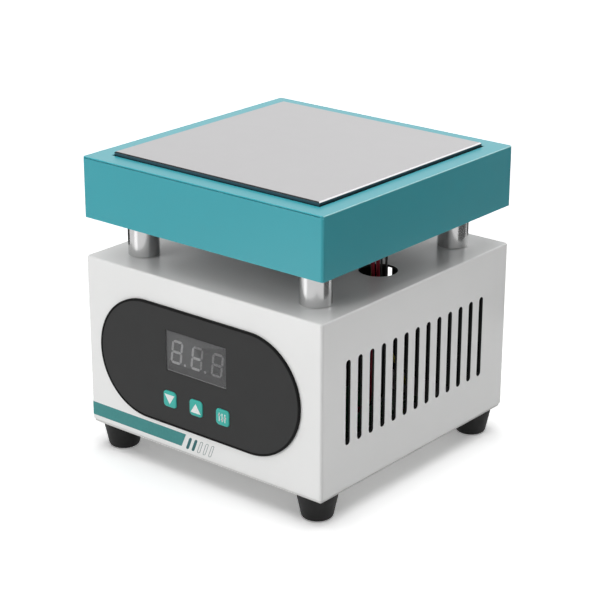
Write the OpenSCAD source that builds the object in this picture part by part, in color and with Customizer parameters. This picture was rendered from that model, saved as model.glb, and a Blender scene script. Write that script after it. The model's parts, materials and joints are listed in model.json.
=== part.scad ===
// Square bench preheater for circuit boards: a heating head on four posts above a vented control case.
// Millimetres, +Z up, front towards -Y, origin on the bench at the middle of the footprint.

/* [Footprint] */
// Width of the case and of the heating head
body_w = 143.6; // [140:0.2:170]
// Depth of the case and of the heating head
body_d = 143.6; // [140:0.2:170]

/* [Case] */
// Height of the case shell
case_h = 84; // [80:1:110]
// Sheet thickness of the case shell
case_wall = 1.2; // [1:0.1:2]
// Bend radius of the upright case corners
case_corner_r = 1.5; // [1.4:0.1:5]
// Bend radius round the top of the case
case_edge_r = 0.8; // [0.6:0.1:1.3]
// Width of the inward flanges along the lower edges
flange_w = 20; // [18:1:24]
// Thickness of the bottom plate
bottom_t = 1.5; // [1:0.1:3]
// How far the bottom plate stays back from the sides of the case
bottom_inset = 0.8; // [0:0.1:1.2]

/* [Vents] */
// Number of slots in each side wall
side_vent_count = 13; // [3:1:13]
// Number of slots in the rear wall
rear_vent_count = 6; // [2:1:7]
// Distance from slot to slot
vent_pitch = 8.6; // [7:0.1:8.8]
// Width of a slot
vent_w = 3.4; // [2:0.1:5]
// Length of a slot
vent_l = 41; // [20:1:48]
// Height of the slots' middle above the lower edge of the case
vent_z = 41.6; // [36:0.1:48]
// Place of the middle of the side slots, from the middle of the side
side_vent_y = -1.6; // [-4:0.2:4]
// Distance from slot to slot in the rear wall
rear_vent_pitch = 7.2; // [7:0.1:8.8]
// Place of the first rear slot, from the middle
rear_vent_x = 1.5; // [0:0.5:8]

/* [Feet] */
// Height of a foot
foot_h = 13; // [9:0.5:18]
// Diameter of a foot where it meets the bottom plate
foot_top_d = 20; // [18:0.5:24]
// Diameter of a foot near the bench
foot_tip_d = 14.5; // [14:0.5:18]
// Rounding of a foot's lower edge
foot_edge_r = 2; // [0.5:0.1:2.4]
// Distance of a foot's axis from the sides of the case
foot_inset = 10.8; // [9.5:0.1:13]
// Depth of the recess that hides the screw head
foot_recess = 6; // [4.5:0.5:8]

/* [Posts] */
// Free height of the posts
post_h = 19.1; // [18:0.1:50]
// Diameter of the posts
post_d = 15; // [8:0.5:18]
// Distance of a post's axis from the sides of the case
post_inset = 19.4; // [12:0.1:21]
// Chamfer at both ends of a post
post_chamfer = 0.4; // [0.1:0.1:1]

/* [Hood] */
// Height of the hood
hood_h = 29.6; // [27:0.1:45]
// Sheet thickness of the hood
hood_wall = 1.2; // [0.8:0.1:2]
// Bend radius of the upright hood corners
hood_corner_r = 1.3; // [1.2:0.1:2]
// Bend radius round the top of the hood
hood_edge_r = 0.4; // [0.2:0.1:1.1]
// How far below the hood's top the seam along its front and rear edges lies
hood_seam_drop = 0.4; // [0.3:0.05:0.6]
// Gap of the seam under the front and rear edges of the hood's top
hood_seam = 0.45; // [0.1:0.05:0.6]
// Diameter of the corner relief where the hood's bends meet
hood_relief_d = 1.6; // [1:0.1:2.4]
// Sheet thickness of the hood's floor tray
floor_t = 1.5; // [1:0.1:2.5]
// Height of the tray's upturned edges above its floor
floor_edge_h = 8; // [4:0.5:14]

/* [Heating block] */
// Width of the heating block
block_w = 122.4; // [112:0.2:124]
// Depth of the heating block
block_d = 122.4; // [112:0.2:124]
// Thickness of the heating block
block_t = 16; // [14:0.5:17]
// Height of the block's face above the hood
block_proud = 1.8; // [0.5:0.1:5]
// Chamfer round the block's face
block_chamfer = 0.5; // [0.2:0.1:1]
// Gap between the block and the hood's window
rim_gap = 1; // [0.5:0.1:2]
// Distance of the carrying screws from the block's middle
block_screw_place = 40; // [38:0.5:42]
// Thickness of the insulation board
board_t = 6; // [3:0.5:6.5]
// How far the insulation board stays back from the block's sides
board_setback = 2; // [1:0.5:4]

/* [Heaters] */
// Diameter of a cartridge heater
heater_d = 9.5; // [6:0.1:10]
// Length of a cartridge heater
heater_l = 100; // [60:1:105]
// Distance between the two heaters
heater_spacing = 60; // [30:1:64]
// Diameter of the temperature probe
probe_d = 4; // [3:0.1:5]
// Length of the temperature probe
probe_l = 50; // [20:1:80]

/* [Leads] */
// Diameter of the hole for the leads in the top of the case
lead_hole_d = 18.5; // [17:0.5:24]
// Place of that hole to the right of the middle
lead_hole_x = 47.3; // [44:0.1:48]
// Diameter of a heater lead
heater_lead_d = 1.9; // [1.4:0.1:2.2]
// Diameter of a probe lead
probe_lead_d = 1.2; // [0.8:0.1:1.4]
// Diameter of an earth or mains lead
mains_lead_d = 1.8; // [1.2:0.1:2]

/* [Control panel] */
// Length of the panel overlay
panel_w = 122.8; // [112:0.2:130]
// Height of the panel overlay
panel_h = 59; // [56:0.5:70]
// Thickness of the panel overlay
panel_t = 1; // [0.6:0.1:1.4]
// Place of the panel's middle, from the middle of the front
panel_x = -1.4; // [-4:0.2:4]
// Height of the panel's middle above the lower edge of the case
panel_z = 41; // [38:0.5:46]
// Place of the display and the keys, from the middle of the front
control_x = -1.6; // [-4:0.2:4]

/* [Display] */
// Width of the display lens
lens_w = 37; // [34:0.2:37.6]
// Height of the display lens
lens_h = 20; // [17:0.2:20.4]
// Height of the display's middle above the lower edge of the case
lens_z = 49.2; // [47:0.1:52]
// Width of the display module
display_w = 37.6; // [37:0.2:42]
// Height of the display module
display_h = 19.2; // [19:0.2:22]
// Depth of the display module
display_depth = 8; // [7.6:0.1:10]
// Height of a digit
digit_h = 12; // [9:0.1:14]
// Width of a digit
digit_w = 7; // [5:0.1:8]
// Distance from digit to digit
digit_pitch = 12.5; // [11:0.1:12.6]
// Width of a lit segment
segment_w = 1.3; // [0.8:0.1:1.6]
// Lean of the digits
digit_slant = 8; // [0:0.5:10]

/* [Keys] */
// Width and height of a key cap
key_w = 8; // [6:0.1:10]
// Corner radius of a key cap
key_corner_r = 1.8; // [0.6:0.1:2.4]
// Distance from key to key
key_pitch = 16.4; // [14:0.1:18]
// Height of the keys' middle above the lower edge of the case
key_z = 24.9; // [23:0.1:27]
// How far a key stands out of the panel
key_proud = 0.5; // [0.5:0.1:2]
// Travel of a key
key_travel = 0.4; // [0.2:0.1:0.5]

/* [Rear fittings] */
// Place of the mains inlet, from the middle of the rear
inlet_x = -36; // [-40:0.5:-32]
// Height of the inlet's middle above the lower edge of the case
inlet_z = 24; // [20:0.5:28]
// Place of the power switch, from the middle of the rear
rocker_x = -36; // [-44:0.5:-30]
// Height of the power switch's middle above the lower edge of the case
rocker_z = 58; // [54:0.5:64]
// Tilt of the switch rocker to either side of its middle
rocker_tilt = 10; // [6:0.5:11]

/* [Hidden] */
$fn = 64;
corners = [["front_left", -1, -1], ["front_right", 1, -1], ["rear_left", -1, 1], ["rear_right", 1, 1]];
keys = [["down", -1], ["up", 0], ["set", 1]];

// Overlap of a cutter past the face it cuts
cut = 1;
// Clearances: a tapped or pinned fit, a slid-in piece, a piece laid in place, a screw hole
fit_gap = 0.05;
slide_gap = 0.15;
place_gap = 0.2;
hole_gap = 0.2;

// Levels from the bench up
case_z0 = foot_h + bottom_t;
case_z1 = case_z0 + case_h;
head_z0 = case_z1 + post_h;
head_z1 = head_z0 + hood_h;
floor_top = head_z0 + floor_t;
block_z1 = head_z1 + block_proud;
block_z0 = block_z1 - block_t;
board_z0 = block_z0 - board_t;
spacer_h = board_z0 - floor_top;

// Planes of the front, from the overlay's face inwards
front_y = -body_d / 2;
panel_y = front_y - panel_t;
inner_y = front_y + case_wall;
pcb_y = front_y + display_depth;
rear_y = body_d / 2;

// Machine screws and their nuts
m4_d = 4;
m4_head_d = 7;
m4_head_h = 2.6;
m4_nut_w = 7;
m4_nut_h = 3.2;
m4_bite = 8;
m3_d = 3;
m3_head_d = 5.5;
m3_head_h = 2;
m3_bite = 4;
washer_d = 9;
washer_t = 0.8;

// Depth of the seam in the hood
hood_seam_depth = 0.6;

// Ceramic spacers under the heating block, heaters and probe
block_spacer_d = 8;
heater_axis_z = block_z0 + block_t / 2;
heater_pin_gap = 4;
lead_room = 4;
lead_setback = 4;
heater_face_x = block_w / 2 - lead_setback;
probe_axis_z = block_z0 + block_t / 4;
probe_pin_gap = 1.8;

// Keys and their switches
key_flange = 1;
key_flange_t = 1;
key_stem_d = 3;
switch_w = 6;
switch_h = 3.5;
plunger_d = 3.5;
plunger_proud = 0.9;
plunger_seat = 0.2;
switch_y = pcb_y - switch_h;
key_back_y = switch_y - plunger_proud;

// Boards
board_thick = 1.6;
control_pcb_gap = 20.6;
control_pcb_w = body_w - 2 * (case_wall + control_pcb_gap);
control_pcb_h = 46;
control_pcb_z = case_z0 + (lens_z + key_z) / 2;
standoff_d = 6;
standoff_edge = 5;
power_pcb_gap = 1.8;
power_pcb_w = body_w - 2 * (case_wall + flange_w + power_pcb_gap);
power_pcb_d = 80;
power_pcb_x = -2;
power_pcb_y = -4;
power_pcb_edge = 4;
pcb_spacer_h = 6;
pcb_z0 = case_z0 + pcb_spacer_h;
pcb_z1 = pcb_z0 + board_thick;

// Screw terminals on the power board
pole_pitch = 5.08;
terminal_d = 10;
terminal_h = 12;
entry_d = 3.2;
entry_z = pcb_z1 + 5;
lead_poles = 4;
mains_poles = 3;
lead_terminal_x = lead_hole_x - 13.5;
mains_terminal_x = -20;
mains_terminal_y = power_pcb_y + power_pcb_d / 2 - terminal_d / 2;

// Transformer
core_w = 38;
core_d = 16;
core_h = 32;
core_leg = 11;
core_window_w = 7.5;
core_window_h = 20;
coil_r = 4;
coil_reach = 7;
core_x = -20;
core_y = -16;

// Triac and its heat sink
sink_x = 16;
sink_y = 12;
sink_w = 40;
sink_h = 30;
sink_base = 3;
fin_t = 1.5;
fin_l = 12;
fin_count = 7;
triac_w = 10;
triac_tab_t = 1.3;
triac_tab_h = 15.6;
triac_body_t = 4.5;
triac_body_h = 9;
triac_lift = 7;
triac_leg_w = 0.8;
triac_leg_pitch = 2.54;

// Fuse
fuse_d = 5;
fuse_l = 20;
fuse_cap_d = 5.4;
fuse_cap_l = 5;
fuse_lift = 4.5;
fuse_x = -22;
fuse_y = 12;
clip_t = 0.8;

// Ring ends and barrels of the earth lead
lug_d = 7;
lug_t = 0.8;
barrel_d = 3;
barrel_l = 4;
head_lug_x = lead_hole_x - 17;
case_lug_x = body_w / 2 - case_wall - flange_w / 2;
case_lug_y = 24;
lug_reach = 6;

// Mains inlet
inlet_flange_w = 50;
inlet_flange_h = 22.6;
inlet_flange_t = 2;
inlet_flange_r = 4;
inlet_body_w = 28;
inlet_body_h = 20.6;
inlet_mouth_w = 24.4;
inlet_mouth_h = 16.6;
inlet_mouth_chamfer = 5;
inlet_depth = 16;
inlet_back_t = 2;
inlet_screw_pitch = 40;
inlet_sink_h = 1.6;
pin_w = 2;
pin_h = 4;
pin_recess = 3;
pin_tail = 6;
pin_places = [[-7, -2], [0, 2], [7, -2]];
inlet_face_y = rear_y + inlet_flange_t;
inlet_floor_y = inlet_face_y - inlet_depth;
inlet_back_y = inlet_floor_y - inlet_back_t;
pin_tail_y = inlet_back_y - pin_tail;

// Power switch
rocker_bezel_w = 15;
rocker_bezel_h = 21;
rocker_bezel_t = 1.5;
rocker_bezel_r = 1;
rocker_body_w = 13;
rocker_body_h = 19;
rocker_wall = 1;
rocker_side_gap = 0.3;
rocker_half = 7.6;
rocker_root = 5.5;
rocker_end_h = 4;
rocker_mid_h = 2.9;
rocker_drop = 2.5;
rocker_pin_d = 2.4;
rocker_pivot_y = rear_y - 2;
rocker_back_y = rear_y - 14;
rocker_swing = 4.2;
tab_w = 4.8;
tab_t = 0.8;
tab_l = 8;
tab_gap = 10;
tab_end_y = rocker_back_y - tab_l;

// Leads between head and case: where each passes the case's top, from the middle of the lead hole
heater_pass = [[-1.9, -1.6], [-0.1, -0.1]];
probe_pass = [[2.9, -1.5], [4.7, 0]];
earth_pass = [-4.6, 1.7];
drop_x = (block_w + body_w) / 4 - hood_wall / 2;
run_z = floor_top + 3.5;
spread_z = case_z0 + 32;
entry_x = lead_terminal_x + terminal_d / 2;
entry_in = 2;

// Place of a pole across its terminal
function pole(i, count) = (i - (count - 1) / 2) * pole_pitch;

// A lead's way from the hood floor's hole down to its pole of the terminal block
function drop_route(pass, y_end) = let (x = lead_hole_x + pass[0], y = pass[1]) [
    [x, y, run_z - 4],
    [x, y, head_z0 - 4],
    [x, y, case_z1],
    [x, y, case_z1 - 6],
    [entry_x + 7, y_end, spread_z],
    [entry_x + 6.5, y_end, entry_z + 6],
    [entry_x + 2, y_end, entry_z],
    [entry_x - entry_in, y_end, entry_z]
];

// From a heater's face over the side of the block, under the insulation and down to the case
function heater_route(side, pass, y_end) = let (
    y = side * (heater_spacing + heater_pin_gap) / 2,
    x = lead_hole_x + pass[0]
) concat([
    [heater_face_x, y, heater_axis_z],
    [block_w / 2, y, heater_axis_z],
    [drop_x, y, heater_axis_z - 5],
    [drop_x, y, run_z + 5],
    [drop_x - 1, y, run_z + 1.5],
    [drop_x - 4, y - side * 2, run_z],
    [x, pass[1] + side * 12, run_z],
    [x, pass[1] + side * 3, run_z]
], drop_route(pass, y_end));

// The red jumper that puts both heaters in series
function link_route() = let (y = (heater_spacing - heater_pin_gap) / 2) [
    [heater_face_x, -y, heater_axis_z],
    [block_w / 2, -y, heater_axis_z],
    [drop_x, -y + 5, heater_axis_z],
    [drop_x, 0, heater_axis_z],
    [drop_x, y - 5, heater_axis_z],
    [block_w / 2, y, heater_axis_z],
    [heater_face_x, y, heater_axis_z]
];

// From the probe's end beside the block down to the case
function probe_route(side, pass, y_end) = let (
    y = side * probe_pin_gap / 2,
    x = lead_hole_x + pass[0]
) concat([
    [heater_face_x, y, probe_axis_z],
    [block_w / 2, y, probe_axis_z],
    [drop_x, y, probe_axis_z - 4.5],
    [drop_x, y, run_z + 4],
    [drop_x - 1, y, run_z + 2],
    [drop_x - 4, y, run_z + 1],
    [x + 4, pass[1], run_z + 1]
], drop_route(pass, y_end));

// The earth lead between the two ring ends
earth_route = [
    [head_lug_x + lug_reach, 0, floor_top + barrel_d / 2],
    [head_lug_x + lug_reach + 3, 0, floor_top + barrel_d / 2],
    [lead_hole_x + earth_pass[0], earth_pass[1], floor_top - 2],
    [lead_hole_x + earth_pass[0], earth_pass[1], head_z0 - 6],
    [lead_hole_x + earth_pass[0], earth_pass[1], case_z1],
    [lead_hole_x + earth_pass[0], earth_pass[1], case_z1 - 8],
    [lead_hole_x - 7, 8, case_z0 + 56],
    [lead_hole_x - 5, 18, case_z0 + 36],
    [lead_hole_x + 1, case_lug_y, case_z0 + 18],
    [case_lug_x - lug_reach - 4, case_lug_y, case_z0 + case_wall + barrel_d / 2 + 4],
    [case_lug_x - lug_reach - 1.5, case_lug_y, case_z0 + case_wall + barrel_d / 2],
    [case_lug_x - lug_reach, case_lug_y, case_z0 + case_wall + barrel_d / 2]
];

// Mains leads: inlet to switch, switch to terminal, and the two other pins to the terminal
mains_entry_y = mains_terminal_y + terminal_d / 2;
inlet_abs_z = case_z0 + inlet_z;
rocker_abs_z = case_z0 + rocker_z;
function pin_at(i) = [inlet_x + pin_places[i][0], pin_tail_y, inlet_abs_z + pin_places[i][1]];
function tab_at(side) = [rocker_x, tab_end_y, rocker_abs_z + side * tab_gap / 2];
function into_pole(i) = let (x = mains_terminal_x + pole(i, mains_poles)) [
    [x, mains_entry_y + 5, entry_z],
    [x, mains_entry_y - entry_in, entry_z]
];
mains_routes = [
    [
        pin_at(0),
        pin_at(0) - [0, 3, 0],
        pin_at(0) + [-3, -6, 10],
        tab_at(-1) + [-3, -6, -8],
        tab_at(-1) - [0, 3, 0],
        tab_at(-1)
    ],
    concat([
        tab_at(1),
        tab_at(1) - [0, 3, 0],
        tab_at(1) + [4, -7, -8],
        tab_at(1) + [16, -9, -30]
    ], into_pole(2)),
    concat([pin_at(1), pin_at(1) - [0, 3, 0]], into_pole(0)),
    concat([pin_at(2), pin_at(2) - [0, 3, 0]], into_pole(1))
];

// Ribbon between the two boards, as points of depth and height
ribbon_w = 14;
ribbon_t = 1;
ribbon_x = 16;
ribbon_front_y = pcb_y + board_thick;
ribbon_rear_y = power_pcb_y - power_pcb_d / 2 + 3;
ribbon_path = [
    [ribbon_front_y, pcb_z1 + 14],
    [ribbon_front_y + 5, pcb_z1 + 14],
    [(ribbon_front_y + ribbon_rear_y) / 2 + 3, pcb_z1 + 13],
    [ribbon_rear_y, pcb_z1 + 6],
    [ribbon_rear_y, pcb_z1]
];

// Curves through hand-set points
function unit(v) = v / norm(v);
function spline(p, i, t) = let (
    a = i == 0 ? 2 * p[0] - p[1] : p[i - 1],
    b = p[i],
    c = p[i + 1],
    d = i + 2 < len(p) ? p[i + 2] : 2 * c - b
) 0.5 * (2 * b + (c - a) * t + (2 * a - 5 * b + 4 * c - d) * t * t + (3 * b - a - 3 * c + d) * t * t * t);
function smooth(p, n) = concat([for (i = [0 : len(p) - 2], k = [0 : n - 1]) spline(p, i, k / n)], [p[len(p) - 1]]);
function headings(p, route) = [for (i = [0 : len(p) - 1])
    i == 0 ? unit(route[1] - route[0])
    : i == len(p) - 1 ? unit(route[len(route) - 1] - route[len(route) - 2])
    : unit(p[i + 1] - p[i - 1])];
function carry(t, side, i = 0) = i == len(t) ? []
    : let (turned = unit(side - (side * t[i]) * t[i])) concat([turned], carry(t, turned, i + 1));
function across(t) = abs(t.z) < 0.7 ? cross(t, [0, 0, 1]) : cross(t, [0, 1, 0]);

// A lead swept along its points
module lead(route, d, steps = 3, sides = 8) {
    p = smooth(route, steps);
    t = headings(p, route);
    u = carry(t, unit(across(t[0])));
    last = len(p) - 1;
    points = [for (i = [0 : last], k = [0 : sides - 1])
        p[i] + d / 2 * (cos(360 * k / sides) * u[i] + sin(360 * k / sides) * cross(t[i], u[i]))];
    walls = [for (i = [0 : last - 1], k = [0 : sides - 1]) let (n = (k + 1) % sides)
        [i * sides + k, (i + 1) * sides + k, (i + 1) * sides + n, i * sides + n]];
    near_end = [for (k = [0 : sides - 1]) k];
    far_end = [for (k = [0 : sides - 1]) last * sides + sides - 1 - k];
    polyhedron(points, concat([near_end], walls, [far_end]));
}

// Flat outlines
module rounded_rect(w, h, r) {
    square([w - 2 * r, h], center = true);
    square([w, h - 2 * r], center = true);
    for (x = [-1, 1], y = [-1, 1])
        translate([x * (w / 2 - r), y * (h / 2 - r)])
            circle(r);
}

module obround(w, h) {
    square([w - h, h], center = true);
    for (x = [-1, 1])
        translate([x * (w - h) / 2, 0])
            circle(d = h);
}

// An upright sheet standing in front of a plane, from its rear face towards the viewer
module upright(y, t) {
    translate([0, y, 0])
        rotate([90, 0, 0])
            linear_extrude(t)
                children();
}

// A closed box with rounded upright corners and a rounded upper edge
module bent_box(w, d, h, corner_r, edge_r) {
    mid = [w - 2 * corner_r, d - 2 * corner_r];
    translate([-mid.x / 2, -mid.y / 2, 0])
        cube([mid.x, mid.y, h]);
    for (a = [0, 180])
        rotate(a) {
            translate([mid.x / 2, mid.y / 2, 0])
                rotate([90, 0, 0])
                    linear_extrude(mid.y)
                        edge_profile(h, corner_r, edge_r);
            rotate(90)
                translate([mid.y / 2, mid.x / 2, 0])
                    rotate([90, 0, 0])
                        linear_extrude(mid.x)
                            edge_profile(h, corner_r, edge_r);
        }
    for (x = [0, 1], y = [0, 1])
        mirror([x, 0, 0])
            mirror([0, y, 0])
                translate([mid.x / 2, mid.y / 2, 0])
                    rotate_extrude(angle = 90)
                        edge_profile(h, corner_r, edge_r);
}

module edge_profile(h, corner_r, edge_r) {
    square([corner_r, h - edge_r]);
    square([corner_r - edge_r, h]);
    translate([corner_r - edge_r, h - edge_r])
        intersection() {
            circle(edge_r);
            square(edge_r);
        }
}

// Places that repeat
module at_corners(x, y) {
    for (c = corners)
        translate([c[1] * x, c[2] * y, 0])
            children();
}

module at_posts() {
    at_corners(body_w / 2 - post_inset, body_d / 2 - post_inset)
        children();
}

module at_feet() {
    at_corners(body_w / 2 - foot_inset, body_d / 2 - foot_inset)
        children();
}

module at_block_screws() {
    at_corners(block_screw_place, block_screw_place)
        children();
}

// Fasteners, with the seat of the head at the origin and the shank upwards
module screw(d, length, head_d, head_h) {
    cylinder(d = d, h = length);
    translate([0, 0, -head_h])
        cylinder(d = head_d, h = head_h);
}

module m4_screw(length) {
    screw(m4_d, length, m4_head_d, m4_head_h);
}

module m3_screw(length) {
    screw(m3_d, length, m3_head_d, m3_head_h);
}

module tube(outer, inner, h) {
    difference() {
        cylinder(d = outer, h = h);
        translate([0, 0, -cut])
            cylinder(d = inner, h = h + 2 * cut);
    }
}

// Heating head
module heater_hood() {
    color("#4a9fa9")
        translate([0, 0, head_z0])
            difference() {
                bent_box(body_w, body_d, hood_h, hood_corner_r, hood_edge_r);
                inner = [body_w - 2 * hood_wall, body_d - 2 * hood_wall];
                translate([-inner.x / 2, -inner.y / 2, -cut])
                    cube([inner.x, inner.y, hood_h - hood_wall + cut]);
                window = [block_w + 2 * rim_gap, block_d + 2 * rim_gap];
                translate([-window.x / 2, -window.y / 2, 0])
                    cube([window.x, window.y, hood_h + cut]);
                for (side = [-1, 1])
                    translate([0, side * body_d / 2, hood_h - hood_seam_drop - hood_seam / 2])
                        cube([body_w - 2 * hood_corner_r, 2 * hood_seam_depth, hood_seam], center = true);
                at_corners(body_w / 2, body_d / 2)
                    translate([0, 0, hood_h - hood_wall])
                        cylinder(d = hood_relief_d, h = hood_wall + cut);
            }
}

module hood_floor() {
    w = body_w - 2 * hood_wall - 2 * fit_gap;
    d = body_d - 2 * hood_wall - 2 * fit_gap;
    color("#9aa3a6")
        translate([0, 0, head_z0])
            difference() {
                translate([-w / 2, -d / 2, 0])
                    cube([w, d, floor_t + floor_edge_h]);
                translate([-w / 2 + floor_t, -d / 2 + floor_t, floor_t])
                    cube([w - 2 * floor_t, d - 2 * floor_t, floor_edge_h + cut]);
                at_corners(w / 2, d / 2)
                    translate([-2 * floor_t, -2 * floor_t, floor_t])
                        cube([4 * floor_t, 4 * floor_t, floor_edge_h + cut]);
                at_posts()
                    translate([0, 0, -cut])
                        cylinder(d = m4_d + 2 * hole_gap, h = floor_t + 2 * cut);
                at_block_screws()
                    translate([0, 0, -cut])
                        cylinder(d = m4_d + 2 * hole_gap, h = floor_t + 2 * cut);
                translate([head_lug_x, 0, -cut])
                    cylinder(d = m3_d + 2 * fit_gap, h = floor_t + 2 * cut);
                translate([lead_hole_x, 0, -cut])
                    cylinder(d = lead_hole_d - 2, h = floor_t + 2 * cut);
                pass_d = heater_spacing + heater_pin_gap + 2 * lead_room;
                translate([w / 2 - floor_t - cut, -pass_d / 2, floor_t])
                    cube([floor_t + 2 * cut, pass_d, floor_edge_h + cut]);
            }
}

module chamfered_bar(w, length) {
    translate([0, length / 2, 0])
        rotate([90, 0, 0])
            linear_extrude(length)
                polygon([
                    [-w / 2, 0],
                    [w / 2, 0],
                    [w / 2, block_t - block_chamfer],
                    [w / 2 - block_chamfer, block_t],
                    [-w / 2 + block_chamfer, block_t],
                    [-w / 2, block_t - block_chamfer]
                ]);
}

module heating_block() {
    color("#cfcfcf")
        difference() {
            translate([0, 0, block_z0])
                intersection() {
                    chamfered_bar(block_w, block_d);
                    rotate(90)
                        chamfered_bar(block_d, block_w);
                }
            for (side = [-1, 1])
                translate([heater_face_x - heater_l - cut, side * heater_spacing / 2, heater_axis_z])
                    rotate([0, 90, 0])
                        cylinder(d = heater_d + 2 * fit_gap, h = heater_l + lead_setback + 2 * cut);
            translate([heater_face_x - probe_l - cut, 0, probe_axis_z])
                rotate([0, 90, 0])
                    cylinder(d = probe_d + 2 * fit_gap, h = probe_l + lead_setback + 2 * cut);
            at_block_screws()
                translate([0, 0, block_z0 - cut])
                    cylinder(d = m4_d + 2 * fit_gap, h = m4_bite + 2 * cut);
        }
}

module insulation_board() {
    w = block_w - 2 * board_setback;
    d = block_d - 2 * board_setback;
    color("#d8d2c2")
        difference() {
            translate([-w / 2, -d / 2, board_z0])
                cube([w, d, board_t]);
            at_block_screws()
                translate([0, 0, board_z0 - cut])
                    cylinder(d = m4_d + 2 * hole_gap, h = board_t + 2 * cut);
        }
}

module block_spacers() {
    color("#e9e5da")
        at_block_screws()
            translate([0, 0, floor_top])
                tube(block_spacer_d, m4_d + 2 * hole_gap, spacer_h);
}

module block_screws() {
    color("#b9bcbf")
        at_block_screws()
            translate([0, 0, head_z0])
                m4_screw(floor_t + spacer_h + board_t + m4_bite);
}

module cartridge_heaters() {
    color("#8d8f92")
        for (side = [-1, 1])
            translate([heater_face_x - heater_l, side * heater_spacing / 2, heater_axis_z])
                rotate([0, 90, 0])
                    cylinder(d = heater_d, h = heater_l);
}

module sensor_probe() {
    color("#a5a7aa")
        translate([heater_face_x - probe_l, 0, probe_axis_z])
            rotate([0, 90, 0])
                cylinder(d = probe_d, h = probe_l);
}

// Leads between head and case
module heater_leads() {
    color("#b03a2e") {
        lead(heater_route(-1, heater_pass[0], pole(0, lead_poles)), heater_lead_d);
        lead(heater_route(1, heater_pass[1], pole(1, lead_poles)), heater_lead_d);
        lead(link_route(), heater_lead_d);
    }
}

module sensor_leads() {
    color("#1d1d1d") {
        lead(probe_route(-1, probe_pass[0], pole(2, lead_poles)), probe_lead_d);
        lead(probe_route(1, probe_pass[1], pole(3, lead_poles)), probe_lead_d);
    }
}

module ring_end() {
    tube(lug_d, m3_d + 2 * fit_gap, lug_t);
    translate([lug_d / 2 - 0.5, -barrel_d / 2, 0])
        cube([lug_reach - lug_d / 2 + 0.5 - barrel_l / 2, barrel_d, lug_t]);
    translate([lug_reach - barrel_l / 2, 0, barrel_d / 2])
        rotate([0, 90, 0])
            cylinder(d = barrel_d, h = barrel_l / 2);
}

module earth_lead() {
    color("#7f9a2c") {
        lead(earth_route, mains_lead_d);
        translate([head_lug_x, 0, floor_top])
            ring_end();
        translate([case_lug_x, case_lug_y, case_z0 + case_wall])
            rotate(180)
                ring_end();
    }
}

module earth_screws() {
    color("#b9bcbf") {
        translate([head_lug_x, 0, floor_top + lug_t])
            mirror([0, 0, 1])
                m3_screw(floor_t + lug_t);
        translate([case_lug_x, case_lug_y, case_z0 + case_wall + lug_t])
            mirror([0, 0, 1])
                m3_screw(case_wall + lug_t);
    }
}

// Posts
module support_post(c) {
    r = post_d / 2;
    bore = m4_d / 2 + fit_gap;
    color("#d9d9d9")
        translate([c[1] * (body_w / 2 - post_inset), c[2] * (body_d / 2 - post_inset), case_z1])
            rotate_extrude()
                polygon([
                    [bore, 0],
                    [r - post_chamfer, 0],
                    [r, post_chamfer],
                    [r, post_h - post_chamfer],
                    [r - post_chamfer, post_h],
                    [bore, post_h]
                ]);
}

module post_top_screws() {
    color("#b9bcbf")
        at_posts()
            translate([0, 0, floor_top])
                mirror([0, 0, 1])
                    m4_screw(floor_t + m4_bite);
}

module post_bottom_screws() {
    color("#b9bcbf")
        at_posts()
            translate([0, 0, case_z1 - case_wall])
                m4_screw(case_wall + m4_bite);
}

// Case
module case_shell() {
    color("#e6e6e4")
        difference() {
            union() {
                translate([0, 0, case_z0])
                    difference() {
                        bent_box(body_w, body_d, case_h, case_corner_r, case_edge_r);
                        translate([0, 0, -cut])
                            linear_extrude(case_h - case_wall + cut)
                                rounded_rect(
                                    body_w - 2 * case_wall,
                                    body_d - 2 * case_wall,
                                    case_corner_r - case_wall
                                );
                    }
                for (side = [-1, 1])
                    case_flange(side);
            }
            side_vents();
            rear_vents();
            top_holes();
            front_holes();
            rear_holes();
            at_feet()
                translate([0, 0, case_z0 - cut])
                    cylinder(d = m4_d + 2 * hole_gap, h = case_wall + 2 * cut);
            translate([case_lug_x, case_lug_y, case_z0 - cut])
                cylinder(d = m3_d + 2 * fit_gap, h = case_wall + 2 * cut);
        }
}

module case_flange(side) {
    length = body_d - 2 * case_corner_r;
    reach = flange_w + case_wall / 2;
    middle = (body_w - case_wall - reach) / 2;
    translate([side * middle, 0, case_z0 + case_wall / 2])
        cube([reach, length, case_wall], center = true);
}

module vent_slot(depth) {
    translate([0, 0, -depth / 2])
        linear_extrude(depth)
            obround(vent_l, vent_w);
}

module side_vents() {
    for (i = [0 : side_vent_count - 1])
        translate([0, side_vent_y + (i - (side_vent_count - 1) / 2) * vent_pitch, case_z0 + vent_z])
            rotate([0, 90, 0])
                vent_slot(body_w + 2 * cut);
}

module rear_vents() {
    for (i = [0 : rear_vent_count - 1])
        translate([rear_vent_x + i * rear_vent_pitch, rear_y, case_z0 + vent_z])
            rotate([90, 0, 0])
                rotate(90)
                    vent_slot(2 * case_wall + 2 * cut);
}

module top_holes() {
    at_posts()
        translate([0, 0, case_z1 - case_wall - cut])
            cylinder(d = m4_d + 2 * hole_gap, h = case_wall + 2 * cut);
    translate([lead_hole_x, 0, case_z1 - case_wall - cut])
        cylinder(d = lead_hole_d, h = case_wall + 2 * cut);
}

module key_outline(gap) {
    rounded_rect(key_w + 2 * gap, key_w + 2 * gap, key_corner_r + gap);
}

module at_key(k) {
    translate([control_x + k[1] * key_pitch, 0, case_z0 + key_z])
        children();
}

module at_display() {
    translate([control_x, 0, case_z0 + lens_z])
        children();
}

module front_holes() {
    at_display()
        upright(inner_y + cut, case_wall + 2 * cut)
            square([display_w + 2 * place_gap, display_h + 2 * place_gap], center = true);
    for (k = keys)
        at_key(k)
            upright(inner_y + cut, case_wall + 2 * cut)
                key_outline(slide_gap);
}

module at_inlet() {
    translate([inlet_x, 0, inlet_abs_z])
        children();
}

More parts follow.
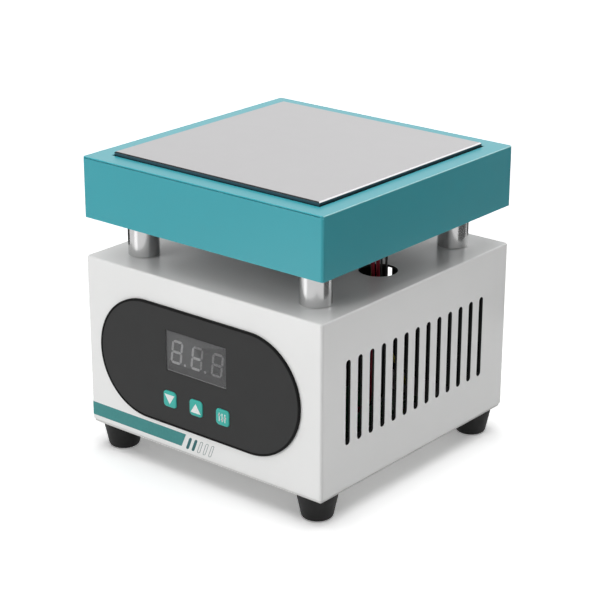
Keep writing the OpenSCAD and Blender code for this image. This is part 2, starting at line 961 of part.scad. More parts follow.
module at_rocker() {
    translate([rocker_x, 0, rocker_abs_z])
        children();
}

module at_inlet_screws() {
    for (side = [-1, 1])
        translate([inlet_x + side * inlet_screw_pitch / 2, inlet_face_y, inlet_abs_z])
            rotate([90, 0, 0])
                children();
}

module rear_holes() {
    at_inlet()
        upright(rear_y + cut, case_wall + 2 * cut)
            square([inlet_body_w + 2 * place_gap, inlet_body_h + 2 * place_gap], center = true);
    at_inlet_screws()
        cylinder(d = m3_d + 2 * fit_gap, h = inlet_flange_t + case_wall + cut);
    at_rocker()
        upright(rear_y + cut, case_wall + 2 * cut)
            square([rocker_body_w + 2 * place_gap, rocker_body_h + 2 * place_gap], center = true);
}

module bottom_plate() {
    color("#dcdcda")
        difference() {
            translate([0, 0, foot_h])
                linear_extrude(bottom_t)
                    rounded_rect(
                        body_w - 2 * bottom_inset,
                        body_d - 2 * bottom_inset,
                        case_corner_r - bottom_inset
                    );
            at_feet()
                translate([0, 0, foot_h - cut])
                    cylinder(d = m4_d + 2 * hole_gap, h = bottom_t + 2 * cut);
        }
}

module foot(c) {
    tip = foot_tip_d / 2;
    lean = atan((foot_top_d - foot_tip_d) / 2 / foot_h);
    round_x = tip - foot_edge_r * (1 - sin(lean)) / cos(lean);
    bore = m4_d / 2 + hole_gap;
    recess = washer_d / 2 + hole_gap;
    color("#2b2b2b")
        translate([c[1] * (body_w / 2 - foot_inset), c[2] * (body_d / 2 - foot_inset), 0])
            rotate_extrude()
                difference() {
                    union() {
                        polygon([
                            [bore, 0],
                            [round_x, 0],
                            [round_x + foot_edge_r * cos(lean), foot_edge_r * (1 - sin(lean))],
                            [foot_top_d / 2, foot_h],
                            [bore, foot_h]
                        ]);
                        translate([round_x, foot_edge_r])
                            circle(foot_edge_r);
                    }
                    translate([bore - cut, -cut])
                        square([recess - bore + cut, foot_recess + cut]);
                }
}

module foot_screws() {
    color("#b9bcbf")
        at_feet()
            translate([0, 0, foot_recess - washer_t])
                m4_screw(case_z0 + case_wall + m4_nut_h + 1 - foot_recess + washer_t);
}

module foot_washers() {
    color("#c4c6c8")
        at_feet()
            translate([0, 0, foot_recess - washer_t])
                tube(washer_d, m4_d + 2 * hole_gap, washer_t);
}

module case_nuts() {
    color("#c4c6c8")
        at_feet()
            translate([0, 0, case_z0 + case_wall])
                difference() {
                    cylinder(d = m4_nut_w / cos(30), h = m4_nut_h, $fn = 6);
                    translate([0, 0, -cut])
                        cylinder(d = m4_d + 2 * fit_gap, h = m4_nut_h + 2 * cut);
                }
}

// Front controls
module control_panel() {
    color("#3c3c3c")
        difference() {
            translate([panel_x, 0, case_z0 + panel_z])
                upright(front_y, panel_t)
                    obround(panel_w, panel_h);
            at_display()
                upright(front_y + cut, panel_t + 2 * cut)
                    square([lens_w + 2 * slide_gap, lens_h + 2 * slide_gap], center = true);
            for (k = keys)
                at_key(k)
                    upright(front_y + cut, panel_t + 2 * cut)
                        key_outline(slide_gap);
        }
}

module display_lens() {
    color("#8f9396")
        at_display()
            upright(front_y, panel_t - slide_gap)
                square([lens_w, lens_h], center = true);
}

// Seven bars of a digit, as pairs of grid points
bars = [
    [[0, 2], [1, 2]],
    [[1, 1], [1, 2]],
    [[1, 0], [1, 1]],
    [[0, 0], [1, 0]],
    [[0, 0], [0, 1]],
    [[0, 1], [0, 2]],
    [[0, 1], [1, 1]]
];
bar_gap = 0.15;
bar_depth = 0.3;
point_d = 1.4;
digit_cell = [digit_w - segment_w, (digit_h - segment_w) / 2];
function leaned(p) = [p.x + p.y * tan(digit_slant), p.y];
function on_grid(p) = [(p.x - 0.5) * digit_cell.x, (p.y - 1) * digit_cell.y];
function bar_outline(p, q) = let (
    along = unit(q - p),
    side = [-along.y, along.x] * segment_w / 2,
    tip = along * bar_gap,
    shoulder = along * (bar_gap + segment_w / 2)
) [p + tip, p + shoulder + side, q - shoulder + side, q - tip, q - shoulder - side, p + shoulder - side];

module digit_bars() {
    for (n = [-1, 0, 1])
        translate([n * digit_pitch, 0])
            for (b = bars)
                polygon([for (p = bar_outline(on_grid(b[0]), on_grid(b[1]))) leaned(p)]);
}

module digit_points(gap) {
    for (n = [-1, 0])
        translate([n * digit_pitch + digit_w / 2 + point_d, -digit_cell.y])
            circle(d = point_d + 2 * gap);
}

module display_module() {
    color("#5d6164")
        at_display()
            difference() {
                upright(pcb_y, display_depth)
                    square([display_w, display_h], center = true);
                upright(front_y + bar_depth, bar_depth + cut) {
                    digit_bars();
                    digit_points(fit_gap);
                }
            }
}

module display_segments() {
    color("#c9ccce")
        at_display()
            upright(front_y + bar_depth, bar_depth) {
                digit_bars();
                digit_points(0);
            }
}

module key(k) {
    color("#49a39c")
        at_key(k) {
            upright(inner_y + fit_gap, inner_y + fit_gap - panel_y + key_proud)
                key_outline(0);
            upright(inner_y + fit_gap + key_flange_t, key_flange_t)
                key_outline(key_flange);
            upright(key_back_y, key_back_y - inner_y - fit_gap - key_flange_t)
                circle(d = key_stem_d);
        }
}

module plunger(k) {
    color("#d8d8d2")
        at_key(k)
            upright(switch_y + plunger_seat, plunger_proud + plunger_seat)
                circle(d = plunger_d);
}

module tact_switches() {
    color("#2a2a2a")
        for (k = keys)
            at_key(k)
                difference() {
                    upright(pcb_y, switch_h)
                        square(switch_w, center = true);
                    upright(switch_y + plunger_seat + key_travel + place_gap, switch_h)
                        circle(d = plunger_d + 2 * fit_gap);
                }
}

module at_standoffs() {
    x = control_pcb_w / 2 - standoff_edge;
    z = control_pcb_h / 2 - standoff_edge;
    for (c = corners)
        translate([control_x + c[1] * x, 0, control_pcb_z + c[2] * z])
            children();
}

module control_pcb() {
    color("#2f6b3c")
        difference() {
            translate([control_x, 0, control_pcb_z])
                upright(pcb_y + board_thick, board_thick)
                    square([control_pcb_w, control_pcb_h], center = true);
            at_standoffs()
                upright(pcb_y + board_thick + cut, board_thick + 2 * cut)
                    circle(d = m3_d + 2 * hole_gap);
        }
}

module panel_standoffs() {
    color("#c8b368")
        at_standoffs()
            upright(pcb_y, pcb_y - inner_y)
                difference() {
                    circle(d = standoff_d);
                    circle(d = m3_d + 2 * fit_gap);
                }
}

module at_pcb_corners() {
    translate([power_pcb_x, power_pcb_y, 0])
        at_corners(power_pcb_w / 2 - power_pcb_edge, power_pcb_d / 2 - power_pcb_edge)
            children();
}

module board_screws() {
    color("#b9bcbf") {
        at_standoffs()
            translate([0, pcb_y + board_thick, 0])
                rotate([90, 0, 0])
                    m3_screw(board_thick + m3_bite);
        at_pcb_corners()
            translate([0, 0, pcb_z1])
                mirror([0, 0, 1])
                    m3_screw(board_thick + m3_bite);
    }
}

// Power board and what stands on it
module power_pcb() {
    color("#2f6b3c")
        difference() {
            translate([power_pcb_x - power_pcb_w / 2, power_pcb_y - power_pcb_d / 2, pcb_z0])
                cube([power_pcb_w, power_pcb_d, board_thick]);
            at_pcb_corners()
                translate([0, 0, pcb_z0 - cut])
                    cylinder(d = m3_d + 2 * hole_gap, h = board_thick + 2 * cut);
        }
}

module pcb_spacers() {
    color("#c8b368")
        at_pcb_corners()
            translate([0, 0, case_z0])
                tube(standoff_d, m3_d + 2 * fit_gap, pcb_spacer_h);
}

module transformer_core() {
    window_x = (core_leg + core_window_w) / 2;
    color("#6f7276")
        translate([core_x, core_y, pcb_z1])
            difference() {
                translate([-core_w / 2, -core_d / 2, 0])
                    cube([core_w, core_d, core_h]);
                for (side = [-1, 1])
                    translate([side * window_x, 0, core_h / 2])
                        cube([core_window_w, core_d + 2 * cut, core_window_h], center = true);
            }
}

module transformer_coil() {
    w = core_leg + 2 * core_window_w - 2 * place_gap;
    h = core_window_h - 2 * place_gap;
    color("#c9a227")
        translate([core_x, core_y, pcb_z1 + core_h / 2 - h / 2])
            linear_extrude(h)
                difference() {
                    rounded_rect(w, core_d + 2 * coil_reach, coil_r);
                    square([core_leg + 2 * place_gap, core_d + 2 * place_gap], center = true);
                }
}

module heatsink() {
    fin_step = (sink_w - fin_t) / (fin_count - 1);
    color("#aeb2b5")
        translate([sink_x, sink_y, pcb_z1])
            linear_extrude(sink_h) {
                translate([-sink_w / 2, 0])
                    square([sink_w, sink_base]);
                for (i = [0 : fin_count - 1])
                    translate([-sink_w / 2 + i * fin_step, 0])
                        square([fin_t, sink_base + fin_l]);
            }
}

module triac() {
    color("#26282a")
        translate([sink_x, sink_y, pcb_z1]) {
            translate([-triac_w / 2, -triac_tab_t, triac_lift])
                cube([triac_w, triac_tab_t, triac_tab_h]);
            translate([-triac_w / 2, -triac_body_t, triac_lift])
                cube([triac_w, triac_body_t, triac_body_h]);
            for (i = [-1, 0, 1])
                translate([i * triac_leg_pitch - triac_leg_w / 2, -triac_body_t / 2 - triac_leg_w / 2, 0])
                    cube([triac_leg_w, triac_leg_w, triac_lift]);
        }
}

module fuse() {
    color("#d6dbd8")
        translate([fuse_x, fuse_y, pcb_z1 + fuse_lift])
            rotate([0, 90, 0]) {
                cylinder(d = fuse_d, h = fuse_l, center = true);
                for (side = [-1, 1])
                    translate([0, 0, side * (fuse_l - fuse_cap_l) / 2])
                        cylinder(d = fuse_cap_d, h = fuse_cap_l, center = true);
            }
}

module fuse_clips() {
    inner = fuse_cap_d / 2 + fit_gap;
    color("#b8a15a")
        for (side = [-1, 1])
            translate([fuse_x + side * (fuse_l - fuse_cap_l) / 2, fuse_y, pcb_z1 + fuse_lift])
                rotate([90, 0, 90])
                    linear_extrude(fuse_cap_l - 2 * clip_t, center = true)
                        difference() {
                            union() {
                                circle(inner + clip_t);
                                translate([-inner, -fuse_lift])
                                    square([2 * inner, fuse_lift]);
                            }
                            circle(inner);
                            translate([-inner * 0.6, 0])
                                square([inner * 1.2, inner + clip_t + cut]);
                        }
}

// A screw terminal block with its wire entries towards +X and its screws on top
module terminal(poles) {
    w = poles * pole_pitch;
    screw_d = 3.6;
    screw_depth = 2;
    difference() {
        translate([-terminal_d / 2, -w / 2, 0])
            cube([terminal_d, w, terminal_h]);
        for (i = [0 : poles - 1])
            translate([0, pole(i, poles), 0]) {
                translate([0, 0, terminal_h - screw_depth])
                    cylinder(d = screw_d, h = screw_depth + cut);
                translate([terminal_d / 2 - entry_in - cut, 0, entry_z - pcb_z1])
                    rotate([0, 90, 0])
                        cylinder(d = entry_d, h = entry_in + 2 * cut);
            }
    }
}

module lead_terminal() {
    color("#2f7d4f")
        translate([lead_terminal_x, 0, pcb_z1])
            terminal(lead_poles);
}

module mains_terminal() {
    color("#2f7d4f")
        translate([mains_terminal_x, mains_terminal_y, pcb_z1])
            rotate(90)
                terminal(mains_poles);
}

module ribbon_cable() {
    p = smooth(ribbon_path, 4);
    t = headings(p, ribbon_path);
    upper = [for (i = [0 : len(p) - 1]) p[i] + [-t[i].y, t[i].x] * ribbon_t / 2];
    lower = [for (i = [len(p) - 1 : -1 : 0]) p[i] - [-t[i].y, t[i].x] * ribbon_t / 2];
    color("#8c8f94")
        translate([ribbon_x - ribbon_w / 2, 0, 0])
            rotate([90, 0, 90])
                linear_extrude(ribbon_w)
                    polygon(concat(upper, lower));
}

module mains_leads() {
    color("#5c4a3d")
        for (route = mains_routes)
            lead(route, mains_lead_d);
}

// Rear fittings
module inlet_mouth() {
    w = inlet_mouth_w / 2;
    h = inlet_mouth_h / 2;
    c = inlet_mouth_chamfer;
    polygon([[-w, -h], [w, -h], [w, h - c], [w - c, h], [-w + c, h], [-w, h - c]]);
}

module mains_inlet() {
    color("#232323")
        difference() {
            at_inlet() {
                upright(inlet_face_y, inlet_flange_t)
                    rounded_rect(inlet_flange_w, inlet_flange_h, inlet_flange_r);
                upright(rear_y + inlet_flange_t / 2, rear_y + inlet_flange_t / 2 - inlet_back_y)
                    square([inlet_body_w, inlet_body_h], center = true);
            }
            at_inlet() {
                upright(inlet_face_y + cut, inlet_depth + cut)
                    inlet_mouth();
                for (p = pin_places)
                    translate([p[0], 0, p[1]])
                        upright(inlet_floor_y + cut, inlet_back_t + 2 * cut)
                            square([pin_w, pin_h], center = true);
            }
            at_inlet_screws()
                translate([0, 0, -cut])
                    cylinder(d = m3_d + 2 * hole_gap, h = inlet_flange_t + 2 * cut);
            at_inlet_screws()
                sunk_head(hole_gap / 2);
        }
}

module sunk_head(gap) {
    cylinder(d1 = m3_head_d + 2 * gap, d2 = m3_d + 2 * gap, h = inlet_sink_h);
}

module inlet_pins() {
    color("#c9c9c4")
        at_inlet()
            for (p = pin_places)
                translate([p[0], 0, p[1]])
                    upright(inlet_face_y - pin_recess, inlet_face_y - pin_recess - pin_tail_y)
                        square([pin_w, pin_h], center = true);
}

module inlet_screws() {
    color("#b9bcbf")
        at_inlet_screws() {
            sunk_head(0);
            cylinder(d = m3_d, h = inlet_flange_t + case_wall + m3_bite);
        }
}

module rocker_frame() {
    mouth_w = rocker_body_w - 2 * rocker_wall;
    mouth_h = rocker_body_h - 2 * rocker_wall;
    color("#1f1f1f")
        at_rocker()
            difference() {
                union() {
                    upright(rear_y + rocker_bezel_t, rocker_bezel_t)
                        rounded_rect(rocker_bezel_w, rocker_bezel_h, rocker_bezel_r);
                    upright(rear_y + rocker_bezel_t / 2, rear_y + rocker_bezel_t / 2 - rocker_back_y)
                        square([rocker_body_w, rocker_body_h], center = true);
                }
                upright(rear_y + rocker_bezel_t + cut, rear_y + rocker_bezel_t + cut - rocker_pivot_y + rocker_swing)
                    square([mouth_w, mouth_h], center = true);
                for (side = [-1, 1])
                    translate([side * (mouth_w + rocker_wall) / 2, rocker_pivot_y, 0])
                        rotate([0, 90, 0])
                            cylinder(d = rocker_pin_d + 2 * fit_gap, h = rocker_wall + 2 * cut, center = true);
            }
}

module rocker() {
    w = rocker_body_w - 2 * rocker_wall - 2 * rocker_side_gap;
    color("#2c2c2c")
        at_rocker()
            translate([0, rocker_pivot_y, 0])
                rotate([-rocker_tilt, 0, 0]) {
                    rotate([90, 0, 90])
                        linear_extrude(w, center = true)
                            polygon([
                                [rocker_end_h, -rocker_half],
                                [rocker_mid_h, 0],
                                [rocker_end_h, rocker_half],
                                [-rocker_drop, rocker_root],
                                [-rocker_drop, -rocker_root]
                            ]);
                    rotate([0, 90, 0])
                        cylinder(d = rocker_pin_d, h = rocker_body_w, center = true);
                }
}

module rocker_tabs() {
    color("#c8b368")
        at_rocker()
            for (side = [-1, 1])
                translate([0, 0, side * tab_gap / 2])
                    upright(rocker_back_y, tab_l)
                        square([tab_w, tab_t], center = true);
}

heater_hood();
hood_floor();
heating_block();
insulation_board();
block_spacers();
block_screws();
cartridge_heaters();
sensor_probe();
heater_leads();
sensor_leads();
earth_lead();
earth_screws();
for (c = corners) support_post(c);
post_top_screws();
post_bottom_screws();
case_shell();
bottom_plate();
for (c = corners) foot(c);
foot_screws();
foot_washers();
case_nuts();
control_panel();
display_lens();
display_module();
display_segments();
for (k = keys) key(k);
for (k = keys) plunger(k);
tact_switches();
control_pcb();
panel_standoffs();
board_screws();
power_pcb();
pcb_spacers();
transformer_core();
transformer_coil();
heatsink();
triac();
fuse();
fuse_clips();
lead_terminal();
mains_terminal();
ribbon_cable();
mains_leads();
mains_inlet();
inlet_pins();
inlet_screws();
rocker_frame();
rocker();
rocker_tabs();
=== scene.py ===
"""Dresses a bench preheater for circuit boards: its finishes, printed marks, key caps, screws and leads."""

import json
import logging
import math
from collections.abc import Sequence
from dataclasses import KW_ONLY, dataclass
from enum import Enum
from typing import Any, ClassVar

import bmesh
import bpy
from mathutils import Matrix, Vector

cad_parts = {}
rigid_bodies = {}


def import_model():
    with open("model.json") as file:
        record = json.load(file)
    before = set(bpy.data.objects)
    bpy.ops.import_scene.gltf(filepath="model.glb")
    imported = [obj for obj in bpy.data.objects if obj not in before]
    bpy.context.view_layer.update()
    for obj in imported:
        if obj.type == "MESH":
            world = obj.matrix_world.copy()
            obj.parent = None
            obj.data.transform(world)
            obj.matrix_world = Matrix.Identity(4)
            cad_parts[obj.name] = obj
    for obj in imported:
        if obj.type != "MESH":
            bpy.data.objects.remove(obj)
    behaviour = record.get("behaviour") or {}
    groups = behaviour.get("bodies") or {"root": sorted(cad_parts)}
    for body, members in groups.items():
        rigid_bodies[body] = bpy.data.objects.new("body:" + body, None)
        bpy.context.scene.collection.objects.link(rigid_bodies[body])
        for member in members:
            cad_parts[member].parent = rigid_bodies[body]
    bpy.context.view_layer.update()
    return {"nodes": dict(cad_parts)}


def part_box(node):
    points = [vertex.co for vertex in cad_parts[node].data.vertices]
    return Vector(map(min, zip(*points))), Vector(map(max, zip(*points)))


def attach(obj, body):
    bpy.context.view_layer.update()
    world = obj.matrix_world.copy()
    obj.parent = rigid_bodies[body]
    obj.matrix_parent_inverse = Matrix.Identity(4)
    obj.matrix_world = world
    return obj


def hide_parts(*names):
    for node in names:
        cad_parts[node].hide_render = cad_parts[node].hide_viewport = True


for leftover in list(bpy.data.objects):
    bpy.data.objects.remove(leftover)
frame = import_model()

MM = 0.001
HAIR = 0.001 * MM
SHARP_ANGLE = math.radians(38)
FULL_ROUND = 0.499
BASE = "base"
CORNERS = ("front_left", "front_right", "rear_left", "rear_right")
log = logging.getLogger("preheater")

Pair = tuple[float, float]
Triple = tuple[float, float, float]
Colour = tuple[float, float, float, float]
Ring = list[Vector]
Outline = list[Vector]
Socket = bpy.types.NodeSocket
Inputs = dict[str, Any]


def linear(code: str) -> Colour:
    """Turns a written sRGB colour into the shader's linear one.

    Args:
        code: Colour as "#rrggbb".

    Returns:
        The linear colour with full alpha.
    """
    parts = [int(code[i : i + 2], 16) / 255 for i in (1, 3, 5)]
    channels = [c / 12.92 if c <= 0.04045 else ((c + 0.055) / 1.055) ** 2.4 for c in parts]
    return (*channels, 1.0)


class Axis(Enum):
    """The object's axes, by their place among coordinates."""

    X = 0
    Y = 1
    Z = 2


class Graph:
    """Short calls for adding and joining the nodes of one tree."""

    def __init__(self, tree: bpy.types.NodeTree) -> None:
        """Wraps a node tree."""
        self.tree = tree

    def feed(self, socket: Socket, value: Any) -> None:
        """Links a socket to another one, or sets its own value.

        Args:
            socket: The socket to feed.
            value: Another socket, or a plain value.
        """
        if isinstance(value, Socket):
            self.tree.links.new(value, socket)
        else:
            socket.default_value = value

    def add(self, kind: str, values: dict[Any, Any] | None = None, **settings: Any) -> bpy.types.Node:
        """Adds a node.

        Args:
            kind: Blender's name of the node type.
            values: Numbers, colours or sockets for its inputs, by name or index.
            **settings: Plain properties of the node.

        Returns:
            The new node.
        """
        node = self.tree.nodes.new(kind)
        for key, value in settings.items():
            setattr(node, key, value)
        for key, value in (values or {}).items():
            self.feed(node.inputs[key], value)
        return node

    def math(self, operation: str, *values: Any) -> Socket:
        """Returns the result of one sum on numbers or sockets."""
        return self.add("ShaderNodeMath", dict(enumerate(values)), operation=operation).outputs[0]

    def vector(self, operation: str, *values: Any) -> Socket:
        """Returns the vector that one sum on vectors gives."""
        return self.add("ShaderNodeVectorMath", dict(enumerate(values)), operation=operation).outputs[0]

    def measure(self, operation: str, *values: Any) -> Socket:
        """Returns the number that one sum on vectors gives."""
        return self.add("ShaderNodeVectorMath", dict(enumerate(values)), operation=operation).outputs[1]

    def span(self, value: Any, low: Any, high: Any, start: Any = 0.0, end: Any = 1.0) -> Socket:
        """Returns a value carried from the range low..high to start..end, with soft ends."""
        values = dict(enumerate((value, low, high, start, end)))
        return self.add("ShaderNodeMapRange", values, interpolation_type="SMOOTHSTEP").outputs[0]

    def blend(self, share: Any, first: Any, second: Any) -> Socket:
        """Returns the first colour mixed with the second by a share."""
        return self.add("ShaderNodeMix", {0: share, 6: first, 7: second}, data_type="RGBA").outputs[2]

    def place(self) -> Socket:
        """Returns the place on the object, in its own metres."""
        return self.add("ShaderNodeTexCoord").outputs["Object"]

    def along(self, axis: Axis) -> Socket:
        """Returns the place on the object along one axis."""
        return self.add("ShaderNodeSeparateXYZ", {0: self.place()}).outputs[axis.value]

    def normal(self) -> Socket:
        """Returns the way that the surface faces."""
        return self.add("ShaderNodeNewGeometry").outputs["Normal"]

    def noise(self, scale: Any, detail: float, where: Socket | None = None) -> Socket:
        """Returns cloudy noise, at the place on the object or at a stretched one."""
        values = {"Vector": where or self.place(), "Scale": scale, "Detail": detail}
        return self.add("ShaderNodeTexNoise", values).outputs[0]

    def bump(self, height: Any, distance: float) -> Socket:
        """Returns the normal of a surface that rises and falls with a height."""
        return self.add("ShaderNodeBump", {"Height": height, "Distance": distance}).outputs[0]

    def effect(self, effect: "Effect", values: dict[str, Any]) -> Socket:
        """Places a shared effect with its own values and returns what it gives."""
        return self.add("ShaderNodeGroup", values, node_tree=effect.group()).outputs[0]


class Effect(Enum):
    """Surface effects that several finishes share, each built once as a node group."""

    COLOUR_DRIFT = "colour_drift"
    ROUGHNESS_DRIFT = "roughness_drift"
    FINE_GRAIN = "fine_grain"
    EDGE_MASK = "edge_mask"
    TOOL_LINES = "tool_lines"
    INSIDE_MASK = "inside_mask"

    def group(self) -> bpy.types.NodeTree:
        """Returns the effect's node group, built on first use."""
        return bpy.data.node_groups.get(self.value) or getattr(EffectShop, self.value)(self.value)


FLOAT = "NodeSocketFloat"
COLOUR = "NodeSocketColor"
VECTOR = "NodeSocketVector"


class EffectShop:
    """Builds the node groups of the shared effects; each method takes the group's name."""

    noise_reach: ClassVar[Pair] = (0.3, 0.7)
    fine_step: ClassVar[float] = 3.1
    fine_share: ClassVar[float] = 0.35
    edge_samples: ClassVar[int] = 6
    edge_turn: ClassVar[Pair] = (0.02, 0.25)
    breakup_reach: ClassVar[Pair] = (0.35, 0.65)
    breakup_least: ClassVar[float] = 0.35

    @staticmethod
    def start(name: str, inputs: dict[str, str], output: str, kind: str) -> tuple[Graph, Any, Socket]:
        """Opens a new group.

        Args:
            name: Name of the group.
            inputs: Socket type of each input, by name.
            output: Name of what the group gives.
            kind: Socket type of that.

        Returns:
            The group's graph, its input sockets and its output socket.
        """
        tree = bpy.data.node_groups.new(name, "ShaderNodeTree")
        for socket, input_kind in inputs.items():
            tree.interface.new_socket(socket, in_out="INPUT", socket_type=input_kind)
        tree.interface.new_socket(output, in_out="OUTPUT", socket_type=kind)
        graph = Graph(tree)
        return graph, graph.add("NodeGroupInput").outputs, graph.add("NodeGroupOutput").inputs[output]

    @classmethod
    def colour_drift(cls, name: str) -> bpy.types.NodeTree:
        """Lets a colour wander a little lighter and darker over the surface."""
        inputs = {"Colour": COLOUR, "Scale": FLOAT, "Spread": FLOAT}
        graph, given, made = cls.start(name, inputs, "Colour", COLOUR)
        low = graph.math("SUBTRACT", 1.0, given["Spread"])
        high = graph.math("ADD", 1.0, given["Spread"])
        factor = graph.span(graph.noise(given["Scale"], detail=4.0), *cls.noise_reach, low, high)
        scaled = graph.add("ShaderNodeVectorMath", {0: given["Colour"], "Scale": factor}, operation="SCALE")
        graph.feed(made, scaled.outputs[0])
        return graph.tree

    @classmethod
    def roughness_drift(cls, name: str) -> bpy.types.NodeTree:
        """Lets a roughness wander about its middle, as handling leaves it."""
        inputs = {"Roughness": FLOAT, "Scale": FLOAT, "Spread": FLOAT}
        graph, given, made = cls.start(name, inputs, "Roughness", FLOAT)
        low = graph.math("SUBTRACT", given["Roughness"], given["Spread"])
        high = graph.math("ADD", given["Roughness"], given["Spread"])
        graph.feed(made, graph.span(graph.noise(given["Scale"], detail=5.0), *cls.noise_reach, low, high))
        return graph.tree

    @classmethod
    def fine_grain(cls, name: str) -> bpy.types.NodeTree:
        """Fine even relief: the peel of powder coat or the spark texture of a moulding."""
        graph, given, made = cls.start(name, {"Scale": FLOAT}, "Height", FLOAT)
        coarse = graph.noise(given["Scale"], detail=1.0)
        fine = graph.noise(graph.math("MULTIPLY", given["Scale"], cls.fine_step), detail=2.0)
        graph.feed(made, graph.math("MULTIPLY_ADD", fine, cls.fine_share, coarse))
        return graph.tree

    @classmethod
    def edge_mask(cls, name: str) -> bpy.types.NodeTree:
        """Finds outer edges, broken up by noise; the finishes lighten them, partly as rubbed wear and partly
        as painted highlight.
        """
        graph, given, made = cls.start(name, {"Width": FLOAT, "Breakup": FLOAT}, "Mask", FLOAT)
        soft = graph.add("ShaderNodeBevel", {"Radius": given["Width"]}, samples=cls.edge_samples).outputs[0]
        facing = graph.measure("DOT_PRODUCT", soft, graph.normal())
        edge = graph.span(graph.math("SUBTRACT", 1.0, facing), *cls.edge_turn)
        broken_up = graph.span(graph.noise(given["Breakup"], detail=3.0), *cls.breakup_reach, cls.breakup_least, 1.0)
        graph.feed(made, graph.math("MULTIPLY", edge, broken_up))
        return graph.tree

    @classmethod
    def tool_lines(cls, name: str) -> bpy.types.NodeTree:
        """Fine lines that a lathe, a belt or a roller leaves, drawn out along the axes with a low pull."""
        graph, given, made = cls.start(name, {"Pull": VECTOR}, "Height", FLOAT)
        pulled = graph.vector("MULTIPLY", graph.place(), given["Pull"])
        graph.feed(made, graph.noise(1.0, detail=3.0, where=pulled))
        return graph.tree

    @classmethod
    def inside_mask(cls, name: str) -> bpy.types.NodeTree:
        """One below the skin of a box with rounded corners, and nought on its skin."""
        inputs = {"Middle": VECTOR, "Reach": VECTOR, "Round": FLOAT, "Margin": FLOAT}
        graph, given, made = cls.start(name, inputs, "Mask", FLOAT)
        away = graph.vector("ABSOLUTE", graph.vector("SUBTRACT", graph.place(), given["Middle"]))
        core = graph.vector("SUBTRACT", given["Reach"], given["Round"])
        past = graph.vector("MAXIMUM", graph.vector("SUBTRACT", away, core), (0.0, 0.0, 0.0))
        depth = graph.math("SUBTRACT", given["Round"], graph.measure("LENGTH", past))
        half = graph.math("MULTIPLY", given["Margin"], 0.5)
        graph.feed(made, graph.span(depth, half, given["Margin"]))
        return graph.tree


@dataclass(frozen=True)
class Drift:
    """A slight wander over a surface: the scale of its noise per metre, and how far it goes."""

    scale: float
    spread: float


@dataclass(frozen=True)
class Finish:
    """A surface finish: its name, its written colour and how it is shaded."""

    name: str
    colour: str
    _: KW_ONLY
    roughness: float = 0.5
    gloss: float = 0.5
    metallic: float = 0.0
    relief: float = 0.0
    tint: Drift = Drift(100.0, 0.05)
    haze: Drift = Drift(200.0, 0.05)
    built: ClassVar[dict[str, bpy.types.Material]] = {}

    def material(self) -> bpy.types.Material:
        """Builds the finish's material on first use.

        Returns:
            The material.
        """
        if self.name not in self.built:
            material = bpy.data.materials.new(self.name)
            material.use_nodes = True
            graph = Graph(material.node_tree)
            shader = material.node_tree.nodes["Principled BSDF"]
            for name, value in self.shade(graph).items():
                graph.feed(shader.inputs[name], value)
            self.built[self.name] = material
        return self.built[self.name]

    def shade(self, graph: Graph) -> Inputs:
        """Makes what the shader gets.

        Args:
            graph: The material's graph.

        Returns:
            The shader's inputs.
        """
        inputs = {"Base Color": self.tone(graph), "Roughness": self.hazed(graph)}
        inputs |= {"Specular IOR Level": self.gloss, "Metallic": self.metallic}
        if self.relief:
            inputs["Normal"] = graph.bump(self.height(graph), self.relief)
        return inputs

    def tone(self, graph: Graph) -> Any:
        """Returns the written colour with its slight drift."""
        values = {"Colour": linear(self.colour), "Scale": self.tint.scale, "Spread": self.tint.spread}
        return graph.effect(Effect.COLOUR_DRIFT, values)

    def hazed(self, graph: Graph) -> Socket:
        """Returns the roughness with its slight drift."""
        values = {"Roughness": self.roughness, "Scale": self.haze.scale, "Spread": self.haze_spread()}
        return graph.effect(Effect.ROUGHNESS_DRIFT, values)

    def haze_spread(self) -> float:
        """Returns how far the roughness wanders."""
        return self.haze.spread

    def height(self, graph: Graph) -> Socket:
        """Returns the rise and fall of a finish that has relief."""
        raise NotImplementedError


@dataclass(frozen=True, kw_only=True)
class EdgeWearAndHighlightFinish(Finish):
    """A finish whose outer edges show some of another colour, partly as rubbed wear and partly as painted
    highlight.
    """

    edge_wear_and_highlight_colour: str = "#ffffff"
    edge_wear_and_highlight_share: float = 0.15
    edge_width: float = 0.3 * MM
    edge_breakup: float = 500.0

    def tone(self, graph: Graph) -> Socket:
        """Makes the drifting colour with its lighter edges, partly rubbed wear and partly painted highlight.

        Args:
            graph: The material's graph.

        Returns:
            The colour.
        """
        # Lighter edges: partly rubbed wear, partly painted highlight.
        edge = graph.effect(Effect.EDGE_MASK, {"Width": self.edge_width, "Breakup": self.edge_breakup})
        share = graph.math("MULTIPLY", edge, self.edge_wear_and_highlight_share)
        return graph.blend(share, super().tone(graph), linear(self.edge_wear_and_highlight_colour))


